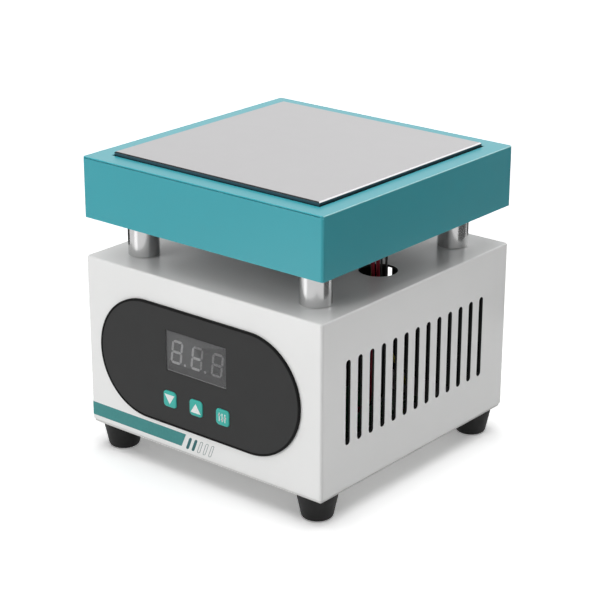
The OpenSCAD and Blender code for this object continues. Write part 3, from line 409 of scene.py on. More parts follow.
@dataclass(frozen=True, kw_only=True)
class PowderCoat(EdgeWearAndHighlightFinish):
    """Baked paint on sheet steel with a slight peel and lighter edges, partly painted highlight; painted
    shade near black inside, if asked.
    """

    roughness: float = 0.35
    gloss: float = 0.3
    coat: float = 0.0
    peel: float = 1400.0
    relief: float = 0.0015 * MM
    tint: Drift = Drift(22.0, 0.008)
    haze: Drift = Drift(60.0, 0.02)
    edge_wear_and_highlight_share: float = 0.2
    edge_width: float = 0.6 * MM
    edge_breakup: float = 260.0
    shell: str | None = None
    shell_round: float = 1.5 * MM
    skin: float = 0.15 * MM
    # Painted shade, near black, inside the shell.
    inside_painted_shade_colour: str = "#0a0b0b"
    inner_roughness: float = 0.9

    def height(self, graph: Graph) -> Socket:
        """Returns the paint's peel."""
        return graph.effect(Effect.FINE_GRAIN, {"Scale": self.peel})

    def shade(self, graph: Graph) -> Inputs:
        """Makes the paint with its clear coat, and painted shade inside the shell.

        Args:
            graph: The material's graph.

        Returns:
            The shader's inputs.
        """
        inputs = super().shade(graph) | {"Coat Weight": self.coat, "Coat Roughness": self.roughness}
        if self.shell:
            low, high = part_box(self.shell)
            values = {"Middle": (low + high) / 2, "Reach": (high - low) / 2}
            values |= {"Round": self.shell_round, "Margin": self.skin}
            # Painted shade: the inside of the shell turns near black, so the vents and the lead hole look
            # dark.
            inside = graph.effect(Effect.INSIDE_MASK, values)
            rough_inside = graph.math("MULTIPLY", inside, self.inner_roughness)
            inputs["Base Color"] = graph.blend(inside, inputs["Base Color"], linear(self.inside_painted_shade_colour))
            inputs["Roughness"] = graph.math("MAXIMUM", inputs["Roughness"], rough_inside)
        return inputs


@dataclass(frozen=True, kw_only=True)
class FoldedCoat(PowderCoat):
    """Powder coat with a painted highlight along the lines where a box's top folds down to the left and
    right.
    """

    node: str = "heater_hood"
    fold: float = 0.55 * MM
    fold_full: float = 0.4
    # Painted highlight along the folds: its colour and its strongest share.
    fold_highlight_colour: str = "#b8f6f8"
    fold_highlight_share: float = 0.8

    def tone(self, graph: Graph) -> Socket:
        """Makes the paint with painted highlight lines along the two folds.

        Args:
            graph: The material's graph.

        Returns:
            The colour.
        """
        low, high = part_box(self.node)
        from_middle = graph.math("SUBTRACT", graph.along(Axis.X), (low.x + high.x) / 2)
        across = graph.math("SUBTRACT", graph.math("ABSOLUTE", from_middle), (high.x - low.x) / 2)
        below = graph.math("SUBTRACT", graph.along(Axis.Z), high.z)
        near = graph.math("MINIMUM", across, below)
        # Painted highlight, strongest on the fold itself.
        share = graph.span(near, -self.fold, -self.fold_full * self.fold, 0.0, self.fold_highlight_share)
        return graph.blend(share, super().tone(graph), linear(self.fold_highlight_colour))


@dataclass(frozen=True, kw_only=True)
class BareMetal(EdgeWearAndHighlightFinish):
    """Metal with fine lines drawn out along one or two axes."""

    roughness: float = 0.25
    metallic: float = 1.0
    pull: Triple = (600.0, 600.0, 600.0)
    relief: float = 0.004 * MM
    tint: Drift = Drift(45.0, 0.03)
    haze: Drift = Drift(120.0, 0.2)

    def haze_spread(self) -> float:
        """Returns how far the roughness wanders, which is a share of itself."""
        return self.haze.spread * self.roughness

    def height(self, graph: Graph) -> Socket:
        """Returns the lines that a tool has left."""
        return graph.effect(Effect.TOOL_LINES, {"Pull": self.pull})


@dataclass(frozen=True, kw_only=True)
class MilledBlock(BareMetal):
    """A blasted metal face with a bright cut chamfer; its sides carry a painted reflection of the teal rim,
    with painted shade below the hood's top.
    """

    node: str = "heating_block"
    chamfer: float = 0.5 * MM
    # Painted reflection of the teal rim on the sides, and painted shade on them below the hood's top.
    side_painted_reflection_colour: str = "#3a5a66"
    deep_node: str = "heater_hood"
    deep_painted_shade_colour: str = "#0b1012"
    deep_blur: float = 0.4 * MM
    cut_colour: str = "#a0a0a1"
    cut_roughness: float = 0.1
    cut_blur: Pair = (0.05 * MM, 0.02 * MM)

    def shade(self, graph: Graph) -> Inputs:
        """Makes the metal of the face, its smooth chamfer, and the sides with their painted reflection and
        painted shade.

        Args:
            graph: The material's graph.

        Returns:
            The shader's inputs.
        """
        inputs = super().shade(graph)
        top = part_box(self.node)[1].z
        foot = top - self.chamfer
        wide, narrow = self.cut_blur
        height = graph.along(Axis.Z)
        metal = graph.span(height, foot - wide, foot + narrow)
        face = graph.span(height, top - wide, top - narrow)
        cut = graph.math("SUBTRACT", metal, face)
        bright = graph.blend(face, linear(self.cut_colour), inputs["Base Color"])
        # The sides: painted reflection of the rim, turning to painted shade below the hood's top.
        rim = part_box(self.deep_node)[1].z
        clear = graph.span(height, rim - self.deep_blur, rim + self.deep_blur)
        side = graph.blend(clear, linear(self.deep_painted_shade_colour), linear(self.side_painted_reflection_colour))
        smooth = graph.math("MULTIPLY", cut, self.cut_roughness)
        kept = graph.math("MULTIPLY", inputs["Roughness"], graph.math("SUBTRACT", 1.0, cut))
        inputs["Base Color"] = graph.blend(metal, side, bright)
        inputs["Metallic"] = metal
        inputs["Roughness"] = graph.math("ADD", kept, smooth)
        return inputs


@dataclass(frozen=True, kw_only=True)
class Moulding(EdgeWearAndHighlightFinish):
    """Moulded plastic, rubber or ceramic with a fine spark texture."""

    roughness: float = 0.45
    gloss: float = 0.35
    grain: float = 1600.0
    relief: float = 0.01 * MM
    tint: Drift = Drift(70.0, 0.05)
    haze: Drift = Drift(150.0, 0.06)
    edge_wear_and_highlight_colour: str = "#808080"
    edge_wear_and_highlight_share: float = 0.1
    edge_width: float = 0.35 * MM
    edge_breakup: float = 420.0

    def height(self, graph: Graph) -> Socket:
        """Returns the spark texture."""
        return graph.effect(Effect.FINE_GRAIN, {"Scale": self.grain})


@dataclass(frozen=True, kw_only=True)
class Ink(Finish):
    """Screen-printed ink, thin and slightly uneven."""

    gloss: float = 0.25
    tint: Drift = Drift(900.0, 0.03)
    haze: Drift = Drift(800.0, 0.05)


@dataclass(frozen=True, kw_only=True)
class TwoTone(Finish):
    """A finish that shows a second colour where its mask says."""

    second: str = "#000000"

    def tone(self, graph: Graph) -> Socket:
        """Returns the two colours, mixed by the mask."""
        return graph.blend(self.mask(graph), super().tone(graph), linear(self.second))

    def mask(self, graph: Graph) -> Socket:
        """Returns one where the second colour shows, and nought elsewhere."""
        raise NotImplementedError


@dataclass(frozen=True, kw_only=True)
class SmokedSheet(TwoTone):
    """Thin smoked plastic that lets the display show through, with painted shade on its cut edges."""

    # Painted shade on the cut edges.
    second: str = "#2c2c2c"
    roughness: float = 0.22
    gloss: float = 0.3
    alpha: float = 0.3
    front: Triple = (0.0, -1.0, 0.0)
    cut_turn: Pair = (0.4, 0.7)
    tint: Drift = Drift(60.0, 0.03)
    haze: Drift = Drift(200.0, 0.04)

    def mask(self, graph: Graph) -> Socket:
        """Returns the cut edges, which don't face the front and get painted shade."""
        facing = graph.measure("DOT_PRODUCT", graph.normal(), self.front)
        return graph.span(facing, *self.cut_turn, 1.0, 0.0)

    def shade(self, graph: Graph) -> Inputs:
        """Returns the shader's inputs with the see-through share."""
        return super().shade(graph) | {"Alpha": self.alpha}


@dataclass(frozen=True, kw_only=True)
class FibreBoard(TwoTone):
    """Pressed ceramic fibre: pale, matt and flecked."""

    second: str = "#a89f8c"
    roughness: float = 0.9
    fleck_scale: float = 1400.0
    fleck_reach: Pair = (0.52, 0.7)
    fibre_scale: float = 900.0
    relief: float = 0.12 * MM
    tint: Drift = Drift(120.0, 0.08)
    haze: Drift = Drift(300.0, 0.05)

    def mask(self, graph: Graph) -> Socket:
        """Returns the flecks."""
        return graph.span(graph.noise(self.fleck_scale, detail=5.0), *self.fleck_reach)

    def height(self, graph: Graph) -> Socket:
        """Returns the fibres."""
        return graph.noise(self.fibre_scale, detail=6.0)


@dataclass(frozen=True, kw_only=True)
class Laminate(TwoTone):
    """Stacked thin layers, as of core sheets or of wound wire, with dark gaps between them."""

    second: str = "#26282a"
    roughness: float = 0.4
    metallic: float = 0.6
    layer: float = 0.5 * MM
    along: Axis = Axis.Y
    gap_reach: Pair = (0.6, 1.0)
    relief: float = -0.04 * MM
    tint: Drift = Drift(90.0, 0.08)
    haze: Drift = Drift(200.0, 0.06)

    def mask(self, graph: Graph) -> Socket:
        """Returns the gaps."""
        return graph.span(self.height(graph), *self.gap_reach)

    def height(self, graph: Graph) -> Socket:
        """Returns a wave that has one crest in each layer."""
        turn = graph.math("MULTIPLY", graph.along(self.along), math.tau / self.layer)
        return graph.math("SINE", turn)


@dataclass(frozen=True, kw_only=True)
class CircuitBoard(TwoTone):
    """Solder mask over copper tracks, which show as paler lanes."""

    second: str = "#4b8a55"
    roughness: float = 0.3
    track_pitch: float = 5.0 * MM
    track_reach: Pair = (0.04, 0.09)
    relief: float = 0.03 * MM
    tint: Drift = Drift(80.0, 0.06)
    haze: Drift = Drift(200.0, 0.05)

    def mask(self, graph: Graph) -> Socket:
        """Makes the tracks, along the borders of cells.

        Args:
            graph: The material's graph.

        Returns:
            One on a track, and nought elsewhere.
        """
        cells = {"Vector": graph.place(), "Scale": 1 / self.track_pitch}
        lanes = graph.add("ShaderNodeTexVoronoi", cells, feature="DISTANCE_TO_EDGE")
        return graph.span(lanes.outputs[0], *self.track_reach, 1.0, 0.0)

    def height(self, graph: Graph) -> Socket:
        """Returns the tracks, which stand up a little."""
        return self.mask(graph)


@dataclass(frozen=True, kw_only=True)
class StripedCover(TwoTone):
    """Wire insulation with a second colour along one side."""

    second: str = "#c9b92e"
    roughness: float = 0.4
    stripe_side: Triple = (0.8, -0.6, 0.0)
    stripe_turn: Pair = (0.25, 0.4)
    tint: Drift = Drift(200.0, 0.05)
    haze: Drift = Drift(300.0, 0.06)

    def mask(self, graph: Graph) -> Socket:
        """Returns the side that has the stripe."""
        side = graph.measure("DOT_PRODUCT", graph.normal(), self.stripe_side)
        return graph.span(side, *self.stripe_turn)


@dataclass(frozen=True, kw_only=True)
class ClearGlass(Finish):
    """Clear glass with a faint smear."""

    roughness: float = 0.08
    transmission: float = 0.85
    refraction: float = 1.5
    haze: Drift = Drift(300.0, 0.04)

    def tone(self, graph: Graph) -> Any:
        """Returns the plain colour."""
        return linear(self.colour)

    def shade(self, graph: Graph) -> Inputs:
        """Returns the shader's inputs with those of glass."""
        return super().shade(graph) | {"Transmission Weight": self.transmission, "IOR": self.refraction}


# The teal coat's pale edges are partly painted highlight, and its pale folds are painted highlight.
TEAL_COAT = FoldedCoat(
    "teal_coat", "#25adba", roughness=0.3, gloss=0.45, coat=0.35, edge_wear_and_highlight_colour="#a8e4e6", edge_wear_and_highlight_share=0.3
)
# The pale coat's white edges are partly painted highlight, and its shell's inside is painted shade.
PALE_COAT = PowderCoat(
    "pale_coat", "#f8f8f7", roughness=0.24, gloss=0.75, edge_wear_and_highlight_share=0.3, shell="case_shell"
)
BASE_COAT = PowderCoat("base_coat", "#e4e4e2")
PLATED_SHEET = BareMetal("plated_sheet", "#6d7173", roughness=0.38, pull=(90.0, 1400.0, 1400.0))
HEATED_FACE = MilledBlock(
    "heated_face", "#cbcacb", roughness=0.42, pull=(2600.0, 2600.0, 2600.0), relief=0.0008 * MM,
    edge_wear_and_highlight_share=0.0, tint=Drift(45.0, 0.002), haze=Drift(120.0, 0.02),
)
POLISHED_STEEL = BareMetal(
    "polished_steel", "#c8c8c8", roughness=0.18, pull=(60.0, 60.0, 5200.0), relief=0.0012 * MM
)
SCREW_STEEL = BareMetal("screw_steel", "#b4b6b8", roughness=0.28, pull=(900.0, 900.0, 2600.0))
HEATER_STEEL = BareMetal("heater_steel", "#8d8f92", roughness=0.35, pull=(3000.0, 80.0, 80.0))
SINK_ALLOY = BareMetal("sink_alloy", "#a9adb0", roughness=0.4, pull=(1500.0, 1500.0, 60.0))
BRASS = BareMetal("contact_brass", "#c2a95e", roughness=0.3, pull=(1200.0, 1200.0, 1200.0))
NICKEL = BareMetal("nickel_pin", "#c4c4be", roughness=0.22, pull=(1200.0, 60.0, 1200.0))
FIBRE = FibreBoard("fibre_board", "#d8d2c2")
CERAMIC = Moulding("ceramic", "#e9e5da", roughness=0.55, gloss=0.3)
RUBBER = Moulding("foot_rubber", "#1b1b1b", roughness=0.62, gloss=0.3, grain=700.0, relief=0.02 * MM)
OVERLAY = Moulding(
    "overlay_film", "#363636", roughness=0.55, gloss=0.22, grain=2600.0, relief=0.004 * MM,
    edge_wear_and_highlight_share=0.0, tint=Drift(70.0, 0.015), haze=Drift(150.0, 0.012),
)
OVERLAY_EDGE = Moulding("overlay_edge", "#060606", roughness=0.5, gloss=0.12, edge_wear_and_highlight_share=0.0)
SMOKED = SmokedSheet("smoked_lens", "#8a8a8b")
DISPLAY_BODY = Moulding("display_body", "#8a8a8b", roughness=0.6, gloss=0.2)
SEGMENT = Moulding("display_segment", "#f0f0f0", roughness=0.6, gloss=0.2, edge_wear_and_highlight_share=0.0)
# The key caps' pale edges are partly painted highlight.
KEY_PLASTIC = Moulding("key_plastic", "#43bfb3", roughness=0.4, edge_wear_and_highlight_colour="#9fe8de", edge_wear_and_highlight_share=0.4)
SWITCH_PLASTIC = Moulding("switch_plastic", "#2a2a2a", roughness=0.5)
# Painted shade: the guide behind the rear slots is near black, so the view through them stays dark.
GUIDE_PAINTED_SHADE = Moulding("guide_painted_shade", "#101112", roughness=0.7, gloss=0.2, grain=900.0, relief=0.006 * MM)
DARK_FITTING = Moulding("dark_fitting", "#191919", roughness=0.42, gloss=0.4, grain=1300.0, edge_wear_and_highlight_share=0.25)
ROCKER_PLASTIC = Moulding(
    "rocker_plastic", "#232323", roughness=0.3, gloss=0.45, grain=2200.0, relief=0.004 * MM, edge_wear_and_highlight_share=0.2
)
TERMINAL_PLASTIC = Moulding("terminal_plastic", "#2f7d4f")
CHIP_PLASTIC = Moulding("chip_plastic", "#1c1d1e", roughness=0.5)
BOARD = CircuitBoard("circuit_board", "#1f5a35")
CORE = Laminate("core_sheets", "#74777a")
COIL = Laminate("coil_winding", "#8a6a24", second="#4b3610", layer=0.6 * MM, along=Axis.Z, metallic=0.2)
RIBBON = Laminate("ribbon_cover", "#8c8f94", second="#5c5f63", layer=1.27 * MM, along=Axis.X, metallic=0.0)
GLASS = ClearGlass("fuse_glass", "#e8eeea")
RED_COVER = Moulding("red_cover", "#c02c40", roughness=0.4, gloss=0.4, edge_wear_and_highlight_share=0.0)
BLACK_COVER = Moulding("black_cover", "#141414", gloss=0.4, edge_wear_and_highlight_share=0.0)
BROWN_COVER = Moulding("brown_cover", "#5c4a3d", gloss=0.4, edge_wear_and_highlight_share=0.0)
EARTH_COVER = StripedCover("earth_cover", "#3f7d34")
WHITE_INK = Ink("white_ink", "#fdfefd")
TEAL_INK = Ink("teal_ink", "#4b9796")
SLATE_INK = Ink("slate_ink", "#3f7276")
GREY_INK = Ink("grey_ink", "#8f9b9c")


def dress(finish: Finish, *nodes: str) -> None:
    """Puts a finish on CAD nodes.

    Args:
        finish: The finish to show.
        *nodes: Names of the nodes.
    """
    for name in nodes:
        for place in frame["nodes"][name].material_slots:
            place.material = finish.material()
        log.info("%s: %s", name, finish.name)


def add_piece(
    name: str, form: bmesh.types.BMesh, finish: Finish, body: str = BASE
) -> bpy.types.Object:
    """Turns a form into a finished piece that rides on a body.

    Args:
        name: Name of the piece.
        form: Its mesh, in the row frame; it is freed here.
        finish: Its finish.
        body: The body it moves with.

    Returns:
        The new object.
    """
    mesh = bpy.data.meshes.new(name)
    bmesh.ops.recalc_face_normals(form, faces=form.faces)
    form.to_mesh(mesh)
    form.free()
    mesh.shade_smooth()
    mesh.set_sharp_from_angle(angle=SHARP_ANGLE)
    mesh.materials.append(finish.material())
    piece = bpy.data.objects.new(name, mesh)
    bpy.context.scene.collection.objects.link(piece)
    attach(piece, body)
    log.info("%s: %d faces on %s", name, len(mesh.polygons), body)
    return piece


def loft(
    rings: Sequence[Ring], form: bmesh.types.BMesh | None = None, closed: bool = False
) -> bmesh.types.BMesh:
    """Skins a row of rings that have equal numbers of points.

    Args:
        rings: The rings, in order.
        form: A form to add to, or none for a new one.
        closed: Whether the last ring joins the first; otherwise both ends are capped.

    Returns:
        The form.
    """
    form = form or bmesh.new()
    rows = [[form.verts.new(point) for point in ring] for ring in rings]
    count = len(rows[0])
    nexts = rows[1:] + rows[:1] if closed else rows[1:]
    for low, high in zip(rows, nexts):
        for i in range(count):
            j = (i + 1) % count
            form.faces.new((low[i], low[j], high[j], high[i]))
    if not closed:
        form.faces.new(rows[0][::-1])
        form.faces.new(rows[-1])
    return form


def rounded_rect(width: float, height: float, radius: float, steps: int = 8) -> Outline:
    """Draws a rectangle with round corners about the origin.

    Args:
        width: Its width.
        height: Its height.
        radius: Radius of its corners.
        steps: Steps in each corner.

    Returns:
        Its flat points.
    """
    points = []
    for quarter, (x, y) in enumerate(((1, 1), (-1, 1), (-1, -1), (1, -1))):
        middle = Vector((x * (width / 2 - radius), y * (height / 2 - radius)))
        for step in range(steps + 1):
            turn = math.pi / 2 * (quarter + step / steps)
            points.append(middle + radius * Vector((math.cos(turn), math.sin(turn))))
    return points


def on_front(outline: Outline, x: float, z: float, y: float) -> Ring:
    """Stands a flat outline up in front view, with its middle at x and z."""
    return [Vector((x + point.x, y, z + point.y)) for point in outline]


@dataclass(frozen=True)
class CrossRecess:
    """The cross in a screw's head: reach and half width of its arms, its depth and its taper."""

    arm: float = 1.55 * MM
    half: float = 0.42 * MM
    deep: float = 0.9 * MM
    taper: float = 0.55
    least: float = 1e-9

    def turns(self) -> list[float]:
        """Returns the angles that catch the corners of the cross."""
        corner = math.atan2(self.half, self.arm)
        quarter = (0.0, corner, (corner + math.pi / 4) / 2, math.pi / 4)
        quarter += tuple(math.pi / 2 - turn for turn in quarter[-2:0:-1])
        return [math.pi / 2 * side + turn for side in range(4) for turn in quarter]

    def reach(self, turn: float) -> float:
        """Returns how far the cross reaches at an angle."""
        c, s = abs(math.cos(turn)) + self.least, abs(math.sin(turn)) + self.least
        return max(min(self.arm / c, self.half / s), min(self.half / c, self.arm / s))

    def add_screw(
        self, form: bmesh.types.BMesh, place: Vector, inward: Vector, profile: Sequence[Pair]
    ) -> None:
        """Adds a screw whose head has this recess.

        Args:
            form: The form to add to.
            place: Middle of the head's face.
            inward: The way from the head to the tail.
            profile: Radius and depth under the face, from the tail to the face's edge.
        """
        turns = self.turns()
        across = inward.orthogonal().normalized()
        up = inward.cross(across)
        ways = [math.cos(turn) * across + math.sin(turn) * up for turn in turns]
        cross = [self.reach(turn) for turn in turns]
        face = profile[-1][1]
        rows = [([radius] * len(turns), depth) for radius, depth in profile]
        rows += [(cross, face), ([self.taper * reach for reach in cross], face + self.deep)]
        rings = []
        for radii, depth in rows:
            rings.append([place + inward * depth + r * way for r, way in zip(radii, ways)])
        loft(rings, form)


class Assembly:
    """A sub-assembly: its solids get their finishes, and then its further pieces are made."""

    def dress(self) -> None:
        """Finishes the CAD solids."""
        raise NotImplementedError

    def build(self) -> None:
        """Makes the pieces that only the scene has; some assemblies have none."""


@dataclass
class HeatingHead(Assembly):
    """The teal hood with its floor, the heated block and what carries and heats it."""

    def dress(self) -> None:
        """Finishes every solid of the head."""
        dress(TEAL_COAT, "heater_hood")
        dress(PLATED_SHEET, "hood_floor")
        dress(HEATED_FACE, "heating_block")
        dress(FIBRE, "insulation_board")
        dress(CERAMIC, "block_spacers")
        dress(HEATER_STEEL, "cartridge_heaters", "sensor_probe")
        dress(SCREW_STEEL, "block_screws", "earth_screws")


@dataclass
class SupportPosts(Assembly):
    """Four polished posts and their screws."""

    def dress(self) -> None:
        """Finishes the posts and screws."""
        dress(POLISHED_STEEL, *(f"support_post_{corner}" for corner in CORNERS))
        dress(SCREW_STEEL, "post_top_screws", "post_bottom_screws")


@dataclass
class ControlCase(Assembly):
    """The pale vented case on its feet, with the printed stripe and bars on its front."""

    corner: float = 1.5 * MM
    corner_steps: int = 12
    film: float = 0.05 * MM
    stripe_low: float = 2.2 * MM
    stripe_high: float = 9.0 * MM
    stripe_end: float = -12.4 * MM
    slant: float = 3.0 * MM
    bar_first: float = -7.6 * MM
    bar_pitch: float = 3.5 * MM
    bar_size: Pair = (1.7 * MM, 6.4 * MM)
    bar_steps: int = 6
    bar_middle: float = 4.9 * MM
    bar_lean: float = 0.4
    bar_line: float = 0.28 * MM
    filled: tuple[bool, ...] = (True, True, False, False, False)
    screw_shank: float = 2.0 * MM
    screw_head: float = 3.5 * MM
    pan_head: tuple[Pair, ...] = ((1.0, 0.9 * MM), (0.93, 0.4 * MM), (0.8, 0.1 * MM), (0.68, 0.0))

    def dress(self) -> None:
        """Finishes the case's solids."""
        dress(PALE_COAT, "case_shell")
        dress(BASE_COAT, "bottom_plate")
        dress(RUBBER, *(f"foot_{corner}" for corner in CORNERS))
        dress(SCREW_STEEL, "foot_washers", "case_nuts")

    def build(self) -> None:
        """Makes the stripe, the bars and the screws in the feet."""
        self.build_stripe()
        self.build_bars()
        self.build_foot_screws()

    def build_stripe(self) -> None:
        """A printed stripe from the left corner bend to a slanted end."""
        low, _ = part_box("case_shell")
        bend = Vector((low.x + self.corner, low.y + self.corner))
        turns = [math.pi + math.pi / 2 * step / self.corner_steps for step in range(self.corner_steps + 1)]
        edges = []
        for lift in (-self.film, self.film):
            radius = self.corner + lift
            path = [bend + radius * Vector((math.cos(turn), math.sin(turn))) for turn in turns]
            for height, reach in ((self.stripe_low, 0.0), (self.stripe_high, self.slant)):
                tip = Vector((self.stripe_end + reach, path[-1].y))
                edges.append([Vector((*p, low.z + height)) for p in path + [tip]])
        in_low, in_high, out_low, out_high = edges
        rings = [list(station) for station in zip(in_low, in_high, out_high, out_low)]
        add_piece("front_stripe", loft(rings), TEAL_INK)

    def build_bars(self) -> None:
        """Five slanted bars beside the stripe, the first two filled."""
        front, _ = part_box("case_shell")
        solid = bmesh.new()
        hollow = bmesh.new()
        z = front.z + self.bar_middle
        outer, inner = self.bar_outline(0.0), self.bar_outline(self.bar_line)
        for index, full in enumerate(self.filled):
            x = self.bar_first + index * self.bar_pitch
            if full:
                loft([on_front(outer, x, z, front.y + side * self.film) for side in (1, -1)], solid)
                continue
            rings = [
                on_front(edge, x, z, front.y + side * self.film)
                for edge, side in ((outer, 1), (outer, -1), (inner, -1), (inner, 1))
            ]
            loft(rings, hollow, closed=True)
        add_piece("front_bars_filled", solid, SLATE_INK)
        add_piece("front_bars_open", hollow, GREY_INK)

    def bar_outline(self, inset: float) -> Outline:
        """Returns the outline of a bar that leans to the right, drawn in by an inset."""
        width, height = (side - 2 * inset for side in self.bar_size)
        upright = rounded_rect(width, height, FULL_ROUND * width, self.bar_steps)
        return [Vector((p.x + self.bar_lean * p.y, p.y)) for p in upright]

    def build_foot_screws(self) -> None:
        """Four pan-head screws with cross recesses, each up through its foot."""
        low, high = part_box("foot_screws")
        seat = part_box("foot_washers")[0].z - low.z
        shank, head = self.screw_shank, self.screw_head
        profile = [(shank, high.z - low.z), (shank, seat), (head, seat)]
        profile += [(share * head, depth) for share, depth in self.pan_head]
        form = bmesh.new()
        for x in (low.x + head, high.x - head):
            for y in (low.y + head, high.y - head):
                CrossRecess().add_screw(form, Vector((x, y, low.z)), Vector((0, 0, 1)), profile)
        piece = add_piece("foot_screw_set", form, SCREW_STEEL)
        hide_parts("foot_screws")


class Mark(Enum):
    """What is printed on a key, by the key's node."""

    DOWN = "key_down"
    UP = "key_up"
    SET = "key_set"


@dataclass
class FrontPanel(Assembly):
    """The dark overlay with its raised edge, the display and the three keys."""

    edge_width: float = 1.0 * MM
    edge_rise: float = 0.12 * MM
    edge_out: float = 0.06 * MM
    edge_shoulder: float = 0.6
    edge_section: tuple[Pair, ...] = ((-0.1, 1.0), (-0.9, 1.0), (-1.0, 0.4), (-1.0, -1.0))
    edge_steps: int = 48
    cap_round: float = 0.45 * MM
    cap_steps: int = 6
    cap_corner: float = 1.8 * MM
    corner_most: float = 0.49
    cap_crown: float = 0.04 * MM
    crown_shares: Pair = (0.6, 0.2)
    lip_width: float = 1.0 * MM
    lip_depth: float = 1.0 * MM
    neck_depth: float = 1.25 * MM
    stem_width: float = 3.0 * MM
    stem_round: float = 1.499 * MM
    stem_root: float = 0.9 * MM
    film: float = 0.04 * MM
    film_sink: float = 0.4
    arrow: Pair = (6.2 * MM, 4.7 * MM)
    slider: Triple = (0.5 * MM, 4.2 * MM, 0.2 * MM)
    slider_pitch: float = 1.75 * MM
    knob: Triple = (1.3 * MM, 0.9 * MM, 0.3 * MM)
    knob_lifts: Triple = (1.0 * MM, -1.1 * MM, 0.3 * MM)
    slider_steps: int = 3

    def dress(self) -> None:
        """Finishes the panel's solids."""
        dress(OVERLAY, "control_panel")
        dress(SMOKED, "display_lens")
        dress(DISPLAY_BODY, "display_module")
        dress(SEGMENT, "display_segments")
        dress(SWITCH_PLASTIC, "tact_switches")
        dress(CERAMIC, "plunger_down", "plunger_up", "plunger_set")

    def build(self) -> None:
        """Makes the panel's edge, the key caps and their marks."""
        self.build_edge()
        for mark in Mark:
            self.build_key(mark)

    def build_edge(self) -> None:
        """A rounded black edge all round the overlay."""
        low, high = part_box("control_panel")
        middle = (low + high) / 2
        width, height = high.x - low.x, high.z - low.z
        section = [(self.edge_out, 0.0), (self.edge_out, self.edge_shoulder * self.edge_rise)]
        section += [(across * self.edge_width, up * self.edge_rise) for across, up in self.edge_section]
        rings = []
        for offset, rise in section:
            depth = high.y if rise == 0.0 else low.y - rise
            radius = height / 2 + offset - HAIR
            outline = rounded_rect(width + 2 * offset, height + 2 * offset, radius, self.edge_steps)
            rings.append(on_front(outline, middle.x, middle.z, depth))
        add_piece("panel_edge", loft(rings, closed=True), OVERLAY_EDGE)

    def build_key(self, mark: Mark) -> None:
        """One key cap with a rounded front and its printed mark.

        Args:
            mark: Which key.
        """
        low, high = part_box(mark.value)
        x, z = (low.x + high.x) / 2, (low.z + high.z) / 2
        lip = high.x - low.x
        cap = lip - 2 * self.lip_width
        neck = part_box("case_shell")[0].y + self.neck_depth
        stations = [(lip, neck + self.lip_depth), (lip, neck), (cap, neck)]
        for step in range(self.cap_steps + 1):
            turn = math.pi / 2 * step / self.cap_steps
            inset = self.cap_round * (1 - math.cos(turn))
            rise = self.cap_round * math.sin(turn)
            stations.append((cap - 2 * inset, low.y + self.cap_round - rise))
        for share in self.crown_shares:
            stations.append((share * cap, low.y - self.cap_crown * (1 - share)))
        rings = []
        for side, depth in stations:
            radius = min(self.cap_corner * side / cap, self.corner_most * side)
            rings.append(on_front(rounded_rect(side, side, radius), x, z, depth))
        form = loft(rings)
        stem = rounded_rect(self.stem_width, self.stem_width, self.stem_round)
        loft([on_front(stem, x, z, y) for y in (high.y, neck + self.stem_root)], form)
        piece = add_piece(f"{mark.value}_cap", form, KEY_PLASTIC, mark.value)
        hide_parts(mark.value)
        self.print_mark(mark, x, z, low.y - self.cap_crown)

    def print_mark(self, mark: Mark, x: float, z: float, y: float) -> None:
        """Prints a key's white mark on its cap.

        Args:
            mark: Which key.
            x: Middle of the key across.
            z: Middle of the key in height.
            y: The cap's foremost plane.
        """
        form = bmesh.new()
        depths = (self.film_sink * self.cap_crown + self.film, -self.film)
        for outline in self.mark_outlines(mark):
            loft([on_front(outline, x, z, y + depth) for depth in depths], form)
        add_piece(f"{mark.value}_mark", form, WHITE_INK, mark.value)

    def mark_outlines(self, mark: Mark) -> list[Outline]:
        """Draws a key's mark: an arrow down or up, or three sliders.

        Args:
            mark: Which key.

        Returns:
            The flat outlines of the mark.
        """
        if mark is Mark.SET:
            bars = []
            for index, lift in enumerate(self.knob_lifts):
                shift = Vector(((index - 1) * self.slider_pitch, 0.0))
                bars.append([p + shift for p in rounded_rect(*self.slider, self.slider_steps)])
                place = shift + Vector((0.0, lift))
                bars.append([p + place for p in rounded_rect(*self.knob, self.slider_steps)])
            return bars
        width, height = self.arrow
        way = 0.5 if mark is Mark.UP else -0.5
        base = -way * height
        return [[Vector((-width / 2, base)), Vector((width / 2, base)), Vector((0.0, way * height))]]


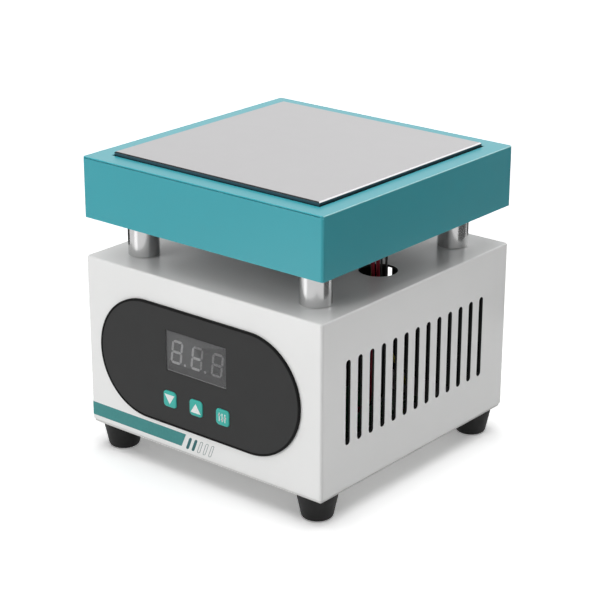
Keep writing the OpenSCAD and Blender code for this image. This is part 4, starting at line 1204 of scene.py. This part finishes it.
@dataclass
class RearFittings(Assembly):
    """The mains inlet with its screws, the power switch, and the air guide behind the rear slots, near black
    as painted shade.
    """

    guide_left: float = 9.5 * MM
    guide_right: float = 50.0 * MM
    guide_low: float = 33.0 * MM
    guide_high: float = 84.0 * MM
    guide_depth: float = 8.6 * MM
    guide_sheet: float = 0.8 * MM
    guide_bend: float = 1.5 * MM
    bend_steps: int = 6
    wall: float = 1.2 * MM
    screw_half: float = 20.0 * MM
    sunk_head: tuple[Pair, ...] = ((1.5 * MM, 1.6 * MM), (2.75 * MM, 0.15 * MM), (2.62 * MM, 0.0))
    mark_film: float = 0.05 * MM
    on_bar: Triple = (0.8 * MM, 3.6 * MM, 0.2 * MM)
    on_bar_steps: int = 3
    on_place: Pair = (73.86 * MM, 75.64 * MM)
    on_normal: Pair = (0.950, -0.313)
    off_ring: Pair = (1.75 * MM, 1.1 * MM)
    off_ring_steps: int = 40
    off_place: Pair = (72.54 * MM, 68.16 * MM)
    off_normal: Pair = (0.9995, -0.031)

    def dress(self) -> None:
        """Finishes the rear fittings."""
        dress(DARK_FITTING, "mains_inlet", "rocker_frame")
        dress(ROCKER_PLASTIC, "rocker")
        dress(NICKEL, "inlet_pins")
        dress(BRASS, "rocker_tabs")

    def build(self) -> None:
        """Makes the air guide, the inlet's screws and the switch's marks."""
        self.build_guide()
        self.build_screws()
        self.build_marks()

    def build_guide(self) -> None:
        """A folded sheet, near black as painted shade, that stands off the rear wall on its upper and lower
        flanges.
        """
        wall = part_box("case_shell")[1].y - self.wall
        face = wall - self.guide_depth
        outer = self.channel(wall, face, 0.0)
        inner = self.channel(wall, face, self.guide_sheet)
        section = outer + inner[::-1]
        rings = [[Vector((x, y, z)) for y, z in section] for x in (self.guide_left, self.guide_right)]
        add_piece("air_guide", loft(rings), GUIDE_PAINTED_SHADE)

    def channel(self, wall: float, face: float, inset: float) -> list[Pair]:
        """Draws one skin of the folded guide, from its upper flange down to its lower one.

        Args:
            wall: Where the flanges end.
            face: Where the guide's web stands.
            inset: How far the skin lies inside the outer one.

        Returns:
            Points across and up.
        """
        low, high = self.guide_low + inset, self.guide_high - inset
        bend = self.guide_bend - inset
        path = [(wall, high)]
        for middle, start in ((high - bend, math.pi / 2), (low + bend, math.pi)):
            for step in range(self.bend_steps + 1):
                turn = start + math.pi / 2 * step / self.bend_steps
                y = face + inset + bend + bend * math.cos(turn)
                path.append((y, middle + bend * math.sin(turn)))
        return path + [(wall, low)]

    def build_screws(self) -> None:
        """Two countersunk screws with cross recesses beside the inlet."""
        low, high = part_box("inlet_screws")
        x, z = (low.x + high.x) / 2, (low.z + high.z) / 2
        form = bmesh.new()
        shank = self.sunk_head[0][0]
        profile = [(shank, high.y - low.y), *self.sunk_head]
        for side in (-1, 1):
            place = Vector((x + side * self.screw_half, high.y, z))
            CrossRecess().add_screw(form, place, Vector((0, -1, 0)), profile)
        piece = add_piece("inlet_screw_pair", form, SCREW_STEEL)
        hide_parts("inlet_screws")

    def build_marks(self) -> None:
        """The bar and the ring that stand for on and off, on the switch's two faces."""
        low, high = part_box("rocker")
        x = (low.x + high.x) / 2
        form = bmesh.new()
        bar = rounded_rect(*self.on_bar, self.on_bar_steps)
        loft([self.on_switch(bar, x, self.on_place, self.on_normal, lift) for lift in (-1, 1)], form)
        turns = [math.tau * step / self.off_ring_steps for step in range(self.off_ring_steps)]
        outer, inner = self.off_ring
        rings = []
        for radius, lift in ((outer, -1), (outer, 1), (inner, 1), (inner, -1)):
            edge = [radius * Vector((math.cos(turn), math.sin(turn))) for turn in turns]
            rings.append(self.on_switch(edge, x, self.off_place, self.off_normal, lift))
        loft(rings, form, closed=True)
        add_piece("switch_marks", form, WHITE_INK, "rocker")

    def on_switch(self, outline: Outline, x: float, place: Pair, normal: Pair, lift: int) -> Ring:
        """Lays a flat outline on one face of the switch.

        Args:
            outline: The outline about its middle.
            x: Middle of the switch across.
            place: Middle of the face, along y and z.
            normal: The way the face looks, along y and z.
            lift: One for the ink's outer side, minus one for the side in the plastic.

        Returns:
            The outline's points.
        """
        (y, z), (ny, nz) = place, normal
        rise = lift * self.mark_film
        return [Vector((x + p.x, y - nz * p.y + ny * rise, z + ny * p.y + nz * rise)) for p in outline]


@dataclass
class InnerWorks(Assembly):
    """The two boards and what stands on them."""

    def dress(self) -> None:
        """Finishes everything inside the case."""
        dress(BOARD, "control_pcb", "power_pcb")
        dress(BRASS, "panel_standoffs", "pcb_spacers", "fuse_clips")
        dress(SCREW_STEEL, "board_screws")
        dress(CORE, "transformer_core")
        dress(COIL, "transformer_coil")
        dress(SINK_ALLOY, "heatsink")
        dress(CHIP_PLASTIC, "triac")
        dress(GLASS, "fuse")
        dress(TERMINAL_PLASTIC, "lead_terminal", "mains_terminal")
        dress(RIBBON, "ribbon_cable")


@dataclass
class Leads(Assembly):
    """The coloured leads between head, case and boards."""

    covers: ClassVar[dict[str, Finish]] = {
        "heater_leads": RED_COVER,
        "sensor_leads": BLACK_COVER,
        "earth_lead": EARTH_COVER,
        "mains_leads": BROWN_COVER,
    }
    smoothness: int = 2

    def dress(self) -> None:
        """Finishes the leads."""
        for name, cover in self.covers.items():
            dress(cover, name)

    def build(self) -> None:
        """Rounds the leads, which come in flat facets."""
        for name in self.covers:
            lead = frame["nodes"][name]
            lead.modifiers.new("join", "WELD").merge_threshold = HAIR
            rounding = lead.modifiers.new("round", "SUBSURF")
            rounding.levels = rounding.render_levels = self.smoothness


class Reach(Enum):
    """What a lamp lights: the floor, the case, or all that stands on the case."""

    FLOOR = "floor"
    CASE = "case"
    FITTINGS = "fittings"


@dataclass(frozen=True)
class Lamp:
    """A broad soft lamp far away: where its light comes from, how strong, how wide and on what."""

    name: str
    toward: Triple
    level: float
    width: float
    reach: Reach


@dataclass(frozen=True)
class Card:
    """A dark or bright card that only mirrors see: its middle, the way it faces, its size and level."""

    name: str
    middle: Triple
    facing: Triple
    size: Pair
    level: float


@dataclass
class StudioSet:
    """Camera, white floor, surroundings, lamps, and dark and bright cards."""

    eye: Triple = (0.5349, -0.6509, 0.3870)
    look: Triple = (-0.59448, 0.72398, -0.34991)
    roll: float = 0.148
    lens: float = 111.56
    sensor: float = 36.0
    floor_half: float = 20.0
    floor_colour: float = 0.98
    floor_shown: float = 0.50
    floor_glow: float = 0.23
    floor_mirrored: float = 0.34
    ambient: float = 0.12
    lamps: tuple[Lamp, ...] = (
        Lamp("key_lamp", (-0.36, -0.68, 0.64), 0.51, 56.0, Reach.FITTINGS),
        Lamp("top_lamp", (0.0, 0.0, 1.0), 0.46, 24.0, Reach.FITTINGS),
        Lamp("floor_lamp", (0.0, 0.0, 1.0), 0.55, 60.0, Reach.FLOOR),
        Lamp("case_key", (-0.42, -0.86, 0.27), 0.342, 40.0, Reach.CASE),
        Lamp("case_top", (-0.30, -0.22, 0.93), 0.51, 80.0, Reach.CASE),
        Lamp("case_back", (0.22, 0.88, 0.42), 0.42, 60.0, Reach.CASE),
    )
    cards: tuple[Card, ...] = (
        Card("front_card", (-0.6, -0.35, 0.9), (0.594, 0.349, -0.724), (1.0, 1.0), 0.14),
        Card("right_card", (0.40, 0.29, 0.002), (0.0, 0.0, 1.0), (0.33, 0.64), 0.14),
        Card("wall_card", (0.80, 0.50, 0.20), (-0.85, -0.53, 0.0), (1.7, 0.40), 0.02),
        Card("rear_card", (0.03, 0.41, 0.002), (0.0, 0.0, 1.0), (0.30, 0.42), 0.12),
        Card("left_card", (-0.43, 0.08, 0.002), (0.0, 0.0, 1.0), (0.38, 0.42), 0.03),
        Card("bright_card", (-0.13, -0.34, 0.002), (0.0, 0.0, 1.0), (0.13, 0.2), 1.8),
        Card("glint_card", (0.45, 1.09, 0.85), (-0.349, -0.724, -0.593), (1.3, 1.0), 2.6),
    )

    def build(self) -> None:
        """Sets up the whole studio."""
        self.build_camera()
        self.build_floor()
        self.build_world()
        for lamp in self.lamps:
            self.build_lamp(lamp)
        for card in self.cards:
            self.build_card(card)
        bpy.context.scene.view_settings.view_transform = "Standard"

    def build_camera(self) -> None:
        """Stands the camera where the photograph was taken from."""
        forward = Vector(self.look).normalized()
        right = forward.cross(Vector((0, 0, 1))).normalized()
        right = Matrix.Rotation(math.radians(-self.roll), 3, forward) @ right
        up = right.cross(forward)
        data = bpy.data.cameras.new("camera")
        data.lens = self.lens
        data.sensor_width = self.sensor
        camera = bpy.data.objects.new("camera", data)
        turn = Matrix((right, up, -forward)).transposed().to_4x4()
        camera.matrix_world = Matrix.Translation(self.eye) @ turn
        bpy.context.scene.collection.objects.link(camera)
        bpy.context.scene.camera = camera

    @staticmethod
    def blank_material(name: str) -> tuple[bpy.types.Material, Graph]:
        """Starts a material of the set, without nodes.

        Args:
            name: Its name.

        Returns:
            The material and its graph.
        """
        material = bpy.data.materials.new(name)
        material.use_nodes = True
        material.node_tree.nodes.clear()
        return material, Graph(material.node_tree)

    @staticmethod
    def add_stage(name: str, mesh: bpy.types.Mesh, material: bpy.types.Material) -> bpy.types.Object:
        """Adds a thing of the set, which isn't part of the object.

        Args:
            name: Its name.
            mesh: Its mesh.
            material: Its material.

        Returns:
            The new object.
        """
        mesh.materials.append(material)
        thing = bpy.data.objects.new(name, mesh)
        bpy.context.scene.collection.objects.link(thing)
        return thing

    @staticmethod
    def mirrored(graph: Graph, path: Any) -> Socket:
        """Returns one for rays from a mirror or glass, and nought for others."""
        return graph.math("MAXIMUM", path["Is Glossy Ray"], path["Is Transmission Ray"])

    def build_floor(self) -> None:
        """A pale floor that looks white and still keeps the shadow."""
        form = bmesh.new()
        bmesh.ops.create_grid(form, x_segments=1, y_segments=1, size=self.floor_half)
        mesh = bpy.data.meshes.new("floor")
        form.to_mesh(mesh)
        form.free()
        material, graph = self.blank_material("floor")
        path = graph.add("ShaderNodeLightPath").outputs
        level = self.floor_colour
        matt = graph.add("ShaderNodeBsdfDiffuse", {"Color": (level, level, level, 1.0)})
        extra = graph.math("MULTIPLY", path["Is Camera Ray"], self.floor_shown)
        shown = graph.add("ShaderNodeBsdfDiffuse", {"Color": extra})
        reflected = graph.math("MULTIPLY", self.mirrored(graph, path), self.floor_mirrored)
        glow = graph.math("MULTIPLY_ADD", path["Is Camera Ray"], self.floor_glow, reflected)
        light = graph.add("ShaderNodeEmission", {"Strength": glow})
        both = graph.add("ShaderNodeAddShader", {0: matt.outputs[0], 1: shown.outputs[0]})
        floor_light = graph.add("ShaderNodeAddShader", {0: both.outputs[0], 1: light.outputs[0]})
        graph.add("ShaderNodeOutputMaterial", {"Surface": floor_light.outputs[0]})
        self.add_stage("floor", mesh, material)

    def build_world(self) -> None:
        """White surroundings that light the object at a plain level."""
        world = bpy.data.worlds.new("surroundings")
        world.use_nodes = True
        world.node_tree.nodes.clear()
        graph = Graph(world.node_tree)
        path = graph.add("ShaderNodeLightPath").outputs
        seen = graph.math("MAXIMUM", path["Is Camera Ray"], self.mirrored(graph, path))
        level = graph.span(seen, 0.0, 1.0, self.ambient, 1.0)
        sky = graph.add("ShaderNodeBackground", {"Color": (1.0, 1.0, 1.0, 1.0), "Strength": level})
        graph.add("ShaderNodeOutputWorld", {"Surface": sky.outputs[0]})
        bpy.context.scene.world = world

    def build_lamp(self, lamp: Lamp) -> None:
        """Adds one lamp.

        Args:
            lamp: What to add.
        """
        data = bpy.data.lights.new(lamp.name, "SUN")
        data.energy = math.pi * lamp.level
        data.angle = math.radians(lamp.width)
        light = bpy.data.objects.new(lamp.name, data)
        light.rotation_euler = Vector(lamp.toward).to_track_quat("Z", "Y").to_euler()
        light.visible_glossy = False
        lit = bpy.data.collections.new(f"{lamp.name}_lights")
        if lamp.reach is not Reach.CASE:
            lit.objects.link(bpy.data.objects["floor"])
        if lamp.reach is not Reach.FLOOR:
            lit.objects.link(frame["nodes"]["case_shell"])
        if lamp.reach is Reach.FITTINGS:
            for member in lit.collection_objects:
                member.light_linking.link_state = "EXCLUDE"
        light.light_linking.receiver_collection = lit
        bpy.context.scene.collection.objects.link(light)

    def build_card(self, card: Card) -> None:
        """Adds one card that shows in reflections only.

        Args:
            card: What to add.
        """
        width, height = (side / 2 for side in card.size)
        mesh = bpy.data.meshes.new(card.name)
        corners = [(-width, -height, 0.0), (width, -height, 0.0), (width, height, 0.0), (-width, height, 0.0)]
        mesh.from_pydata(corners, [], [(0, 1, 2, 3)])
        material, graph = self.blank_material(card.name)
        light = graph.add("ShaderNodeEmission", {"Strength": card.level})
        graph.add("ShaderNodeOutputMaterial", {"Surface": light.outputs[0]})
        sheet = self.add_stage(card.name, mesh, material)
        sheet.location = card.middle
        sheet.rotation_euler = Vector(card.facing).to_track_quat("Z", "Y").to_euler()
        for kind in ("camera", "diffuse", "transmission", "volume_scatter", "shadow"):
            setattr(sheet, f"visible_{kind}", False)


def main() -> None:
    """Builds and dresses the preheater, part by part, in its studio."""
    logging.basicConfig(level=logging.INFO, format="%(name)s: %(message)s")
    StudioSet().build()
    outside = (HeatingHead(), SupportPosts(), ControlCase(), FrontPanel(), RearFittings())
    for assembly in (*outside, InnerWorks(), Leads()):
        assembly.dress()
        assembly.build()


if __name__ == "__main__":
    main()
